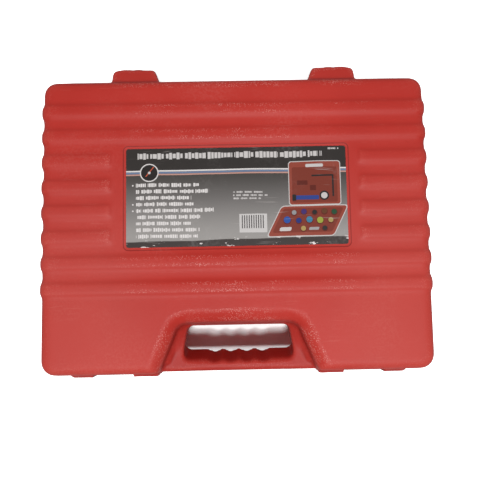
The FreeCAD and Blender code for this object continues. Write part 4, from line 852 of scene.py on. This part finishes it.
ROUND_MARK = (
    ((-98.0, 28.3, 10.5, 10.5, 10.5), WHITE),
    ((-98.0, 28.3, 9.3, 9.3, 9.3), (46, 42, 41)),
    ((-97.4, 29.6, 0.7, 5.6, 0.5, 0.8), (205, 96, 70)),
    ((-98.0, 28.3, 1.5, 1.5, 1.5), PALE),
)
BLOCK_PAPER = ((18.0, -31.0, 15.5, 10.5), (206, 202, 200))
BLOCK_STRIPES = ((18.0, -29.4, 13.0, 7.4, 0.3), (74, 70, 70))
BLOCK_PITCH = 2.6
BLOCK_SHARE = 0.42
print("rows of bars", round(sum(values[0] for values, _ in BARS)))

# %% [markdown]
# The label's field has soft and hard steps: it brightens twice on its way down, and the
# header and the footer end at a line, of which the footer's wavers.

# %% The label's field
FIELD_TOP, FIELD_MIDDLE, FIELD_FOOT = linear(72, 68, 65), linear(124, 120, 118), linear(158, 154, 151)
FIELD_SPANS = ((32.0, -18.0), (0.0, -48.0))
HEADER, HEADER_LINE = linear(56, 52, 50), (30.5, 31.5)
FOOTER, FOOTER_LINE = linear(66, 59, 57), (-47.2, -48.0)
FOOTER_WAVE = 1.6
FOOTER_SLOPE = 0.01


def draw_field(tree, place, across, up):
    """The paper's own greys."""
    field = blend(tree, ramp(tree, up, *FIELD_SPANS[0]), FIELD_TOP, FIELD_MIDDLE)
    field = blend(tree, ramp(tree, up, *FIELD_SPANS[1]), field, FIELD_FOOT)
    field = blend(tree, ramp(tree, up, *HEADER_LINE), field, HEADER)
    wave = product(tree, noise(tree, place, scale=30.0, detail=1.0), FOOTER_WAVE)
    edge = maths(tree, "SUBTRACT", maths(tree, "ADD", up, wave), product(tree, across, FOOTER_SLOPE))
    return blend(tree, ramp(tree, edge, *FOOTER_LINE), field, FOOTER)


print("the header ends", HEADER_LINE[0], "mm above the label's middle")

# %% [markdown]
# All of the print is laid on the field in turn. The film is torn near its foot, which leaves
# white flecks of paper, and it is scratched and dusty. It was never pressed quite flat, so
# its gloss breaks in slow waves.

# %% Label print
SWAY = 3.0
TORN_PAPER = linear(235, 228, 226)
TORN_FLECKS = (0.60, 0.64)
TORN_HEIGHTS = (-45.0, -49.0)


def build_label():
    material, tree, shader, place = new_material("label_print", Roughness=0.3, IOR=1.5)
    across, up, _ = from_label(tree, place)
    sway = product(tree, noise(tree, place, scale=14.0, detail=1.0), SWAY)
    up = maths(tree, "ADD", up, maths(tree, "SUBTRACT", sway, SWAY / 2))

    def plate(x, y, half_x, half_y, corner=0.5, lean=0.0):
        box = {"X": across, "Y": up, "Centre X": x, "Centre Y": y, "Half Width": half_x,
               "Half Height": half_y, "Corner": corner, "Lean": lean}
        return use(tree, plate_group, box)["Mask"]

    def draw(field, shapes):
        for shape, tint in shapes:
            field = blend(tree, plate(*shape), field, linear(*tint))
        return field

    field = draw(draw_field(tree, place, across, up), STRIPES)
    for values, tint in BARS:
        inputs = {"X": across, "Y": up, **dict(zip(BAR_INPUTS, values))}
        field = blend(tree, use(tree, bars_group, inputs)["Mask"], field, linear(*tint))
    field = draw(field, LIST_DOTS + ROUND_MARK + (BLOCK_PAPER,))
    lines = maths(tree, "FRACT", maths(tree, "DIVIDE", across, BLOCK_PITCH))
    lines = maths(tree, "LESS_THAN", lines, BLOCK_SHARE)
    field = blend(tree, product(tree, lines, plate(*BLOCK_STRIPES[0])), field, linear(*BLOCK_STRIPES[1]))
    field = draw(field, drawn_shapes())

    flecks = noise(tree, stretched(tree, place, (1.0, 2.6, 1.0)), scale=60.0, detail=4.0, roughness=0.65)
    flecks = ramp(tree, flecks, *TORN_FLECKS)
    field = lay(tree, field, flecks, ramp(tree, up, *TORN_HEIGHTS), TORN_PAPER)
    wear = use(tree, wear_group, {"Place": place, "Patch": 16.0, "Scratch": 1.0})
    field = lay(tree, field, wear["Scratches"], 0.35, linear(214, 206, 202))
    field = lay(tree, field, wear["Dust"], 0.08, linear(190, 182, 178))
    waves = noise(tree, stretched(tree, place, (1.0, 0.45, 1.0), turn=0.3), scale=26.0)
    rough = ramp(tree, wear["Dust"], 0.0, 1.0, start=0.28, end=0.5)
    surface(tree, shader, field, rough, waves, strength=0.5, distance=1.5 * MM)
    return material


give(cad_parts["label"], build_label())
print("label", [round(v / MM) for v in (LABEL_HIGH - LABEL_LOW)], "mm")

# %% [markdown]
# The pieces inside fall into a few families: turned metals, painted metals, moulded black
# plastics and rubber. Each family is one function, called with the colour and the values
# that set its members apart.

# %% Metals, plastics and rubber
COAT_LIFT = 0.06
COAT_SHARE = 0.8


def build_metal(name, colour, dark, roughness=0.25):
    """Turned metal: fine tool marks, a little tarnish."""
    material, tree, shader, place = new_material(name, Metallic=1.0)
    marks = noise(tree, stretched(tree, place, (1.0, 1.0, 9.0)), scale=260.0, detail=3.0)
    stain = ramp(tree, noise(tree, place, scale=110.0, detail=4.0, roughness=0.6), 0.35, 0.8)
    colour = lay(tree, colour, stain, 0.22, dark)
    rough = ramp(tree, marks, *NOISE_SPAN, start=roughness - 0.06, end=roughness + 0.08)
    rough = maths(tree, "ADD", rough, product(tree, stain, 0.12))
    surface(tree, shader, colour, rough, marks, strength=0.15, distance=0.2 * MM)
    return material


def build_coat(name, colour, roughness=0.35, coat=0.0, grain=0.2, metallic=0.0):
    """Paint, moulded plastic or rubber: a grain, a mottle, dust and scratches."""
    material, tree, shader, place = new_material(name, Coat_Weight=coat, Coat_Roughness=0.12,
                                                 Metallic=metallic)
    fine = use(tree, grain_group, {"Place": place, "Size": 1400.0, "Share": 0.05})
    wear = use(tree, wear_group, {"Place": place, "Patch": 40.0, "Scratch": 0.8})
    lighter = (*(channel * COAT_SHARE + COAT_LIFT for channel in colour[:3]), 1.0)
    darker = (*(channel * COAT_SHARE for channel in colour[:3]), 1.0)
    field = blend(tree, ramp(tree, wear["Mottle"], *NOISE_SPAN), darker, colour)
    field = lay(tree, field, wear["Dust"], 0.35, lighter)
    field = lay(tree, field, wear["Scratches"], 0.5, lighter)
    rough = ramp(tree, fine["Height"], *NOISE_SPAN, start=roughness - 0.05, end=roughness + 0.07)
    surface(tree, shader, field, rough, fine["Height"], strength=grain, distance=0.2 * MM)
    return material


def build_lens():
    """Clear acrylic with a faint haze of fine scratches."""
    material, tree, shader, place = new_material("lens_clear", Transmission_Weight=1.0, IOR=1.49)
    haze = ramp(tree, noise(tree, place, scale=300.0, detail=3.0), 0.4, 0.8, start=0.02, end=0.12)
    tree.links.new(haze, shader.inputs["Roughness"])
    shader.inputs["Base Color"].default_value = linear(244, 248, 248)
    return material


brass = build_metal("brass", linear(214, 176, 102), linear(120, 86, 44), 0.26)
chrome = build_metal("chrome", linear(214, 214, 216), linear(140, 140, 144), 0.14)
steel = build_metal("pin_steel", linear(176, 176, 180), linear(104, 102, 100), 0.3)
alloy = build_metal("adapter_metal", linear(196, 197, 200), linear(140, 140, 142), 0.32)
black_plastic = build_coat("moulded_black", linear(40, 40, 42), 0.42, grain=0.35)
black_rubber = build_coat("rubber_black", linear(32, 31, 31), 0.62, grain=0.5)
blue_enamel = build_coat("barrel_blue", linear(30, 72, 158), 0.3, coat=0.6, grain=0.08)
dial_card = build_coat("dial_card", linear(232, 231, 226), 0.45, grain=0.05)
needle_red = build_coat("needle_red", linear(196, 40, 30), 0.35, grain=0.05)
lens_clear = build_lens()
print("metals:", [metal.name for metal in (brass, chrome, steel, alloy)])

# %% [markdown]
# Every CAD node keeps its own mesh and only gets a finish: the fittings are brass or chrome,
# the pump's mouldings black, its barrel enamelled, and hoses, seals and boot rubber.

finishes = {
    brass: ("release_valve", "ferrule_pump", "ferrule_tee_right", "ferrule_tee_left", "ferrule_end",
            "t_connector"),
    chrome: ("pump_rod", "pump_coupler", "coupler_sleeve", "hose_coupler", "cap_nipples"),
    steel: ("hinge_pin_left", "hinge_pin_right", "latch_pin_left", "latch_pin_right"),
    alloy: ("adapter_long", "adapter_short"),
    black_plastic: ("pump_end_cap", "pump_handle", "pump_head", "gauge_case"),
    black_rubber: ("gauge_boot", "hose_1", "hose_2", "pump_piston", "cap_seals"),
    blue_enamel: ("pump_barrel",),
    dial_card: ("gauge_dial",),
    needle_red: ("gauge_needle",),
    lens_clear: ("gauge_lens",),
}
for material, nodes in finishes.items():
    for node in nodes:
        give(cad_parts[node], material)
for latch in latches:
    give(latch, black_plastic)
print("finished", sum(len(nodes) for nodes in finishes.values()), "nodes")

# %% [markdown]
# Each test cap is anodised in its own colour, so that a mechanic can find the right one. A
# cap's finish is the coat above with some metal showing through. Two caps are plain brass.

# %% Test caps
CAP_COLOURS = {
    "grey": (118, 120, 124), "purple": (104, 60, 150), "rear_black": (44, 44, 47),
    "brown": (112, 66, 44), "dark_green": (34, 92, 62), "charcoal": (76, 76, 80),
    "brass_white": (222, 216, 204), "blue": (34, 98, 196), "dark_blue": (32, 52, 138),
    "cyan": (60, 160, 200), "yellow_green": (176, 190, 58), "front_black": (40, 40, 42),
}
BRASS_CAPS = ("brass", "wide_brass")
for cap, colour in CAP_COLOURS.items():
    coat = build_coat(f"cap_{cap}", linear(*colour), 0.3, coat=0.3, grain=0.06, metallic=0.35)
    give(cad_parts[f"cap_{cap}"], coat)
for cap in BRASS_CAPS:
    give(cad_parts[f"cap_{cap}"], brass)
print("caps", len(CAP_COLOURS) + len(BRASS_CAPS))

# %% [markdown]
# ## The gauge's scale
# The dial lies face down in the closed lid, so its print is drawn face down too. Marks are
# thin plates turned about the dial's middle, and numbers are text made into meshes. Both
# sit a hair off the card, under the needle.

# %% Marks and numbers
DIAL_SWEEP = 270.0
DIAL_START = 225.0
DIAL_TOP_VALUE = 35
DIAL_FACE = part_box("gauge_dial")[0][2]
MARK_OUTER = 24.0 * MM
MARK_LIFT = 0.05 * MM
NUMBER_EVERY = 5
LONG_MARK = (4.0 * MM, 0.7 * MM)
SHORT_MARK = (2.2 * MM, 0.35 * MM)
NUMBER_SIZE = 5.2 * MM
NUMBER_INSET = 7.4 * MM
NUMBER_DETAIL = 3


def dial_angle(value):
    """The direction of a value on the dial, seen by the one who reads it."""
    return math.radians(DIAL_START - DIAL_SWEEP * value / DIAL_TOP_VALUE)


def dial_mark(value, length, width):
    """One scale mark: a thin plate that points at the dial's middle."""
    bpy.ops.object.select_all(action="DESELECT")
    bpy.ops.mesh.primitive_plane_add(size=1)
    mark = bpy.context.object
    turn = dial_angle(value)
    centre = MARK_OUTER - length / 2
    for vertex in mark.data.vertices:
        along, side = centre + vertex.co.x * length, vertex.co.y * width
        vertex.co = (along * math.cos(turn) - side * math.sin(turn),
                     along * math.sin(turn) + side * math.cos(turn), 0)
    return mark


def dial_number(value):
    """A plain number, centred on its place inside the marks."""
    bpy.ops.object.select_all(action="DESELECT")
    bpy.ops.object.text_add()
    text = bpy.context.object
    text.data.body = str(value)
    text.data.size = NUMBER_SIZE
    text.data.align_x = "CENTER"
    text.data.align_y = "CENTER"
    text.data.resolution_u = NUMBER_DETAIL
    bpy.ops.object.convert(target="MESH")
    text = bpy.context.object
    reach = MARK_OUTER - NUMBER_INSET
    for vertex in text.data.vertices:
        vertex.co.x += reach * math.cos(dial_angle(value))
        vertex.co.y += reach * math.sin(dial_angle(value))
    return text


drawn = []
for value in range(DIAL_TOP_VALUE + 1):
    numbered = value % NUMBER_EVERY == 0
    drawn.append(dial_mark(value, *(LONG_MARK if numbered else SHORT_MARK)))
    if numbered:
        drawn.append(dial_number(value))
print("marks and numbers", len(drawn))

# %% [markdown]
# The marks and numbers are joined into one piece, turned face down onto the dial and given
# an ink. The flip mirrors every face, so the normals are turned back.

# %% Put the print on the dial
for piece in drawn:
    piece.select_set(True)
bpy.context.view_layer.objects.active = drawn[0]
bpy.ops.object.join()
dial_print = bpy.context.object
dial_print.name = "dial_print"
for vertex in dial_print.data.vertices:
    x, y, z = vertex.co
    vertex.co = (DIAL.x + x, DIAL.y - y, DIAL_FACE - MARK_LIFT - z)
dial_print.data.flip_normals()
give(dial_print, build_coat("dial_ink", linear(34, 34, 36), 0.5, grain=0.05))
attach(dial_print, "lid")
print("dial print faces", len(dial_print.data.polygons))

# %% [markdown]
# ## Floor, light and camera
# The floor is a plain pale sheet. Away from the case it reads as pure white to the camera,
# while under the handle it keeps its true shade, so the bar's shadow stays in the hole.

# %% Floor
FLOOR_SIZE = 8
FLOOR_TONES = (linear(196, 192, 193), linear(202, 198, 199))
FLOOR_SEEN = (1.1, 1.16, 1.16, 1.0)
FLOOR_GLOW = 0.8
HOLE_X = (120 * MM, 160 * MM)
HOLE_FRONT = (FRONT_WALL - 2 * MM, FRONT_WALL - 12 * MM)
HOLE_REAR = (FRONT_WALL + 80 * MM, FRONT_WALL + 120 * MM)


def seen_rays(tree):
    """1 for what the camera sees straight or through glass."""
    seen = add(tree, "ShaderNodeLightPath").outputs
    return maths(tree, "MAXIMUM", seen["Is Camera Ray"], seen["Is Transmission Ray"])


def build_floor():
    material, tree, shader, place = new_material("floor", Roughness=0.9)
    bounce = blend(tree, ramp(tree, noise(tree, place, scale=3.0), *NOISE_SPAN), *FLOOR_TONES)
    x, y, _ = axes(tree, place)
    away = ramp(tree, maths(tree, "ABSOLUTE", x), *HOLE_X)
    ends = maths(tree, "MAXIMUM", ramp(tree, y, *HOLE_FRONT), ramp(tree, y, *HOLE_REAR))
    away = maths(tree, "MAXIMUM", away, ends)
    rays = seen_rays(tree)
    tree.links.new(blend(tree, rays, bounce, FLOOR_SEEN), shader.inputs["Base Color"])
    tree.links.new(product(tree, rays, away, FLOOR_GLOW), shader.inputs["Emission Strength"])
    shader.inputs["Emission Color"].default_value = (1, 1, 1, 1)
    return material


bpy.ops.object.select_all(action="DESELECT")
bpy.ops.mesh.primitive_plane_add(size=FLOOR_SIZE, location=(0, 0, 0))
floor = bpy.context.object
floor.name = "floor"
floor.data.materials.append(build_floor())
print("floor ready")

# %% [markdown]
# The light is two round lamps high in front, one wide and one small, and a soft fill from
# the world. The fill comes mostly from the sides and the back, so that edges which face the
# front keep their shade, while the camera sees the world as a white room. Each lamp has its
# place and size in metres and its power in watts.

# %% Lamps and world
LAMPS = {
    "wide_lamp": ((0.07, -0.87, 2.6), 0.42, 34.5),
    "small_lamp": ((-0.09, -1.08, 2.6), 0.14, 28.5),
}
FILL_LOW = 0.15
FILL_SIDE = 0.48
FILL_TOP = 0.06
FILL_RISE = (0.0, 0.5)
FILL_FALL = (0.6, 0.92)
FILL_FRONT_SHARE = 0.12
FILL_FRONT = (-0.35, 0.25)


def area_lamp(name, place, size, power):
    """A round lamp that points at the middle of the floor."""
    bpy.ops.object.select_all(action="DESELECT")
    bpy.ops.object.light_add(type="AREA", location=place)
    holder = bpy.context.object
    holder.name = name
    holder.data.shape = "DISK"
    holder.data.size = size
    holder.data.energy = power
    holder.rotation_euler = (-Vector(place)).to_track_quat("-Z", "Y").to_euler()


def build_world():
    """A grey fill that the camera sees as a white room."""
    world = bpy.data.worlds.new("studio")
    world.use_nodes = True
    tree = world.node_tree
    rays = seen_rays(tree)
    _, depth, height = axes(tree, add(tree, "ShaderNodeTexCoord").outputs["Generated"])
    fill = ramp(tree, height, *FILL_RISE, FILL_LOW, FILL_SIDE)
    fill = maths(tree, "MINIMUM", fill, ramp(tree, height, *FILL_FALL, FILL_SIDE, FILL_TOP))
    fill = product(tree, fill, ramp(tree, depth, *FILL_FRONT, FILL_FRONT_SHARE, 1.0))
    background = tree.nodes["Background"]
    background.inputs["Color"].default_value = (1, 1, 1, 1)
    tree.links.new(maths(tree, "MAXIMUM", fill, rays), background.inputs["Strength"])
    bpy.context.scene.world = world


for name, (place, size, power) in LAMPS.items():
    area_lamp(name, place, size, power)
build_world()
bpy.context.scene.view_settings.view_transform = "Standard"
print("lamps", len(LAMPS), "fill", FILL_LOW, FILL_SIDE, FILL_TOP)

# %% [markdown]
# The camera looks almost straight down from about 0.7 m, a hand's breadth in front of the
# middle, with a small tilt and turn. Its focal length is a share of the sensor's width.

# %% Camera
SENSOR = 36.0
FOCAL_SHARE = 546.2 / 500
CAMERA_PLACE = (0.00878, -0.09189, 0.71869)
CAMERA_TURN = (5.043, -0.502, -1.152)
bpy.ops.object.select_all(action="DESELECT")
bpy.ops.object.camera_add(location=CAMERA_PLACE, rotation=[math.radians(turn) for turn in CAMERA_TURN])
camera = bpy.context.object
camera.data.sensor_width = SENSOR
camera.data.lens = FOCAL_SHARE * SENSOR
bpy.context.scene.camera = camera
print("lens", round(camera.data.lens, 2), "mm")
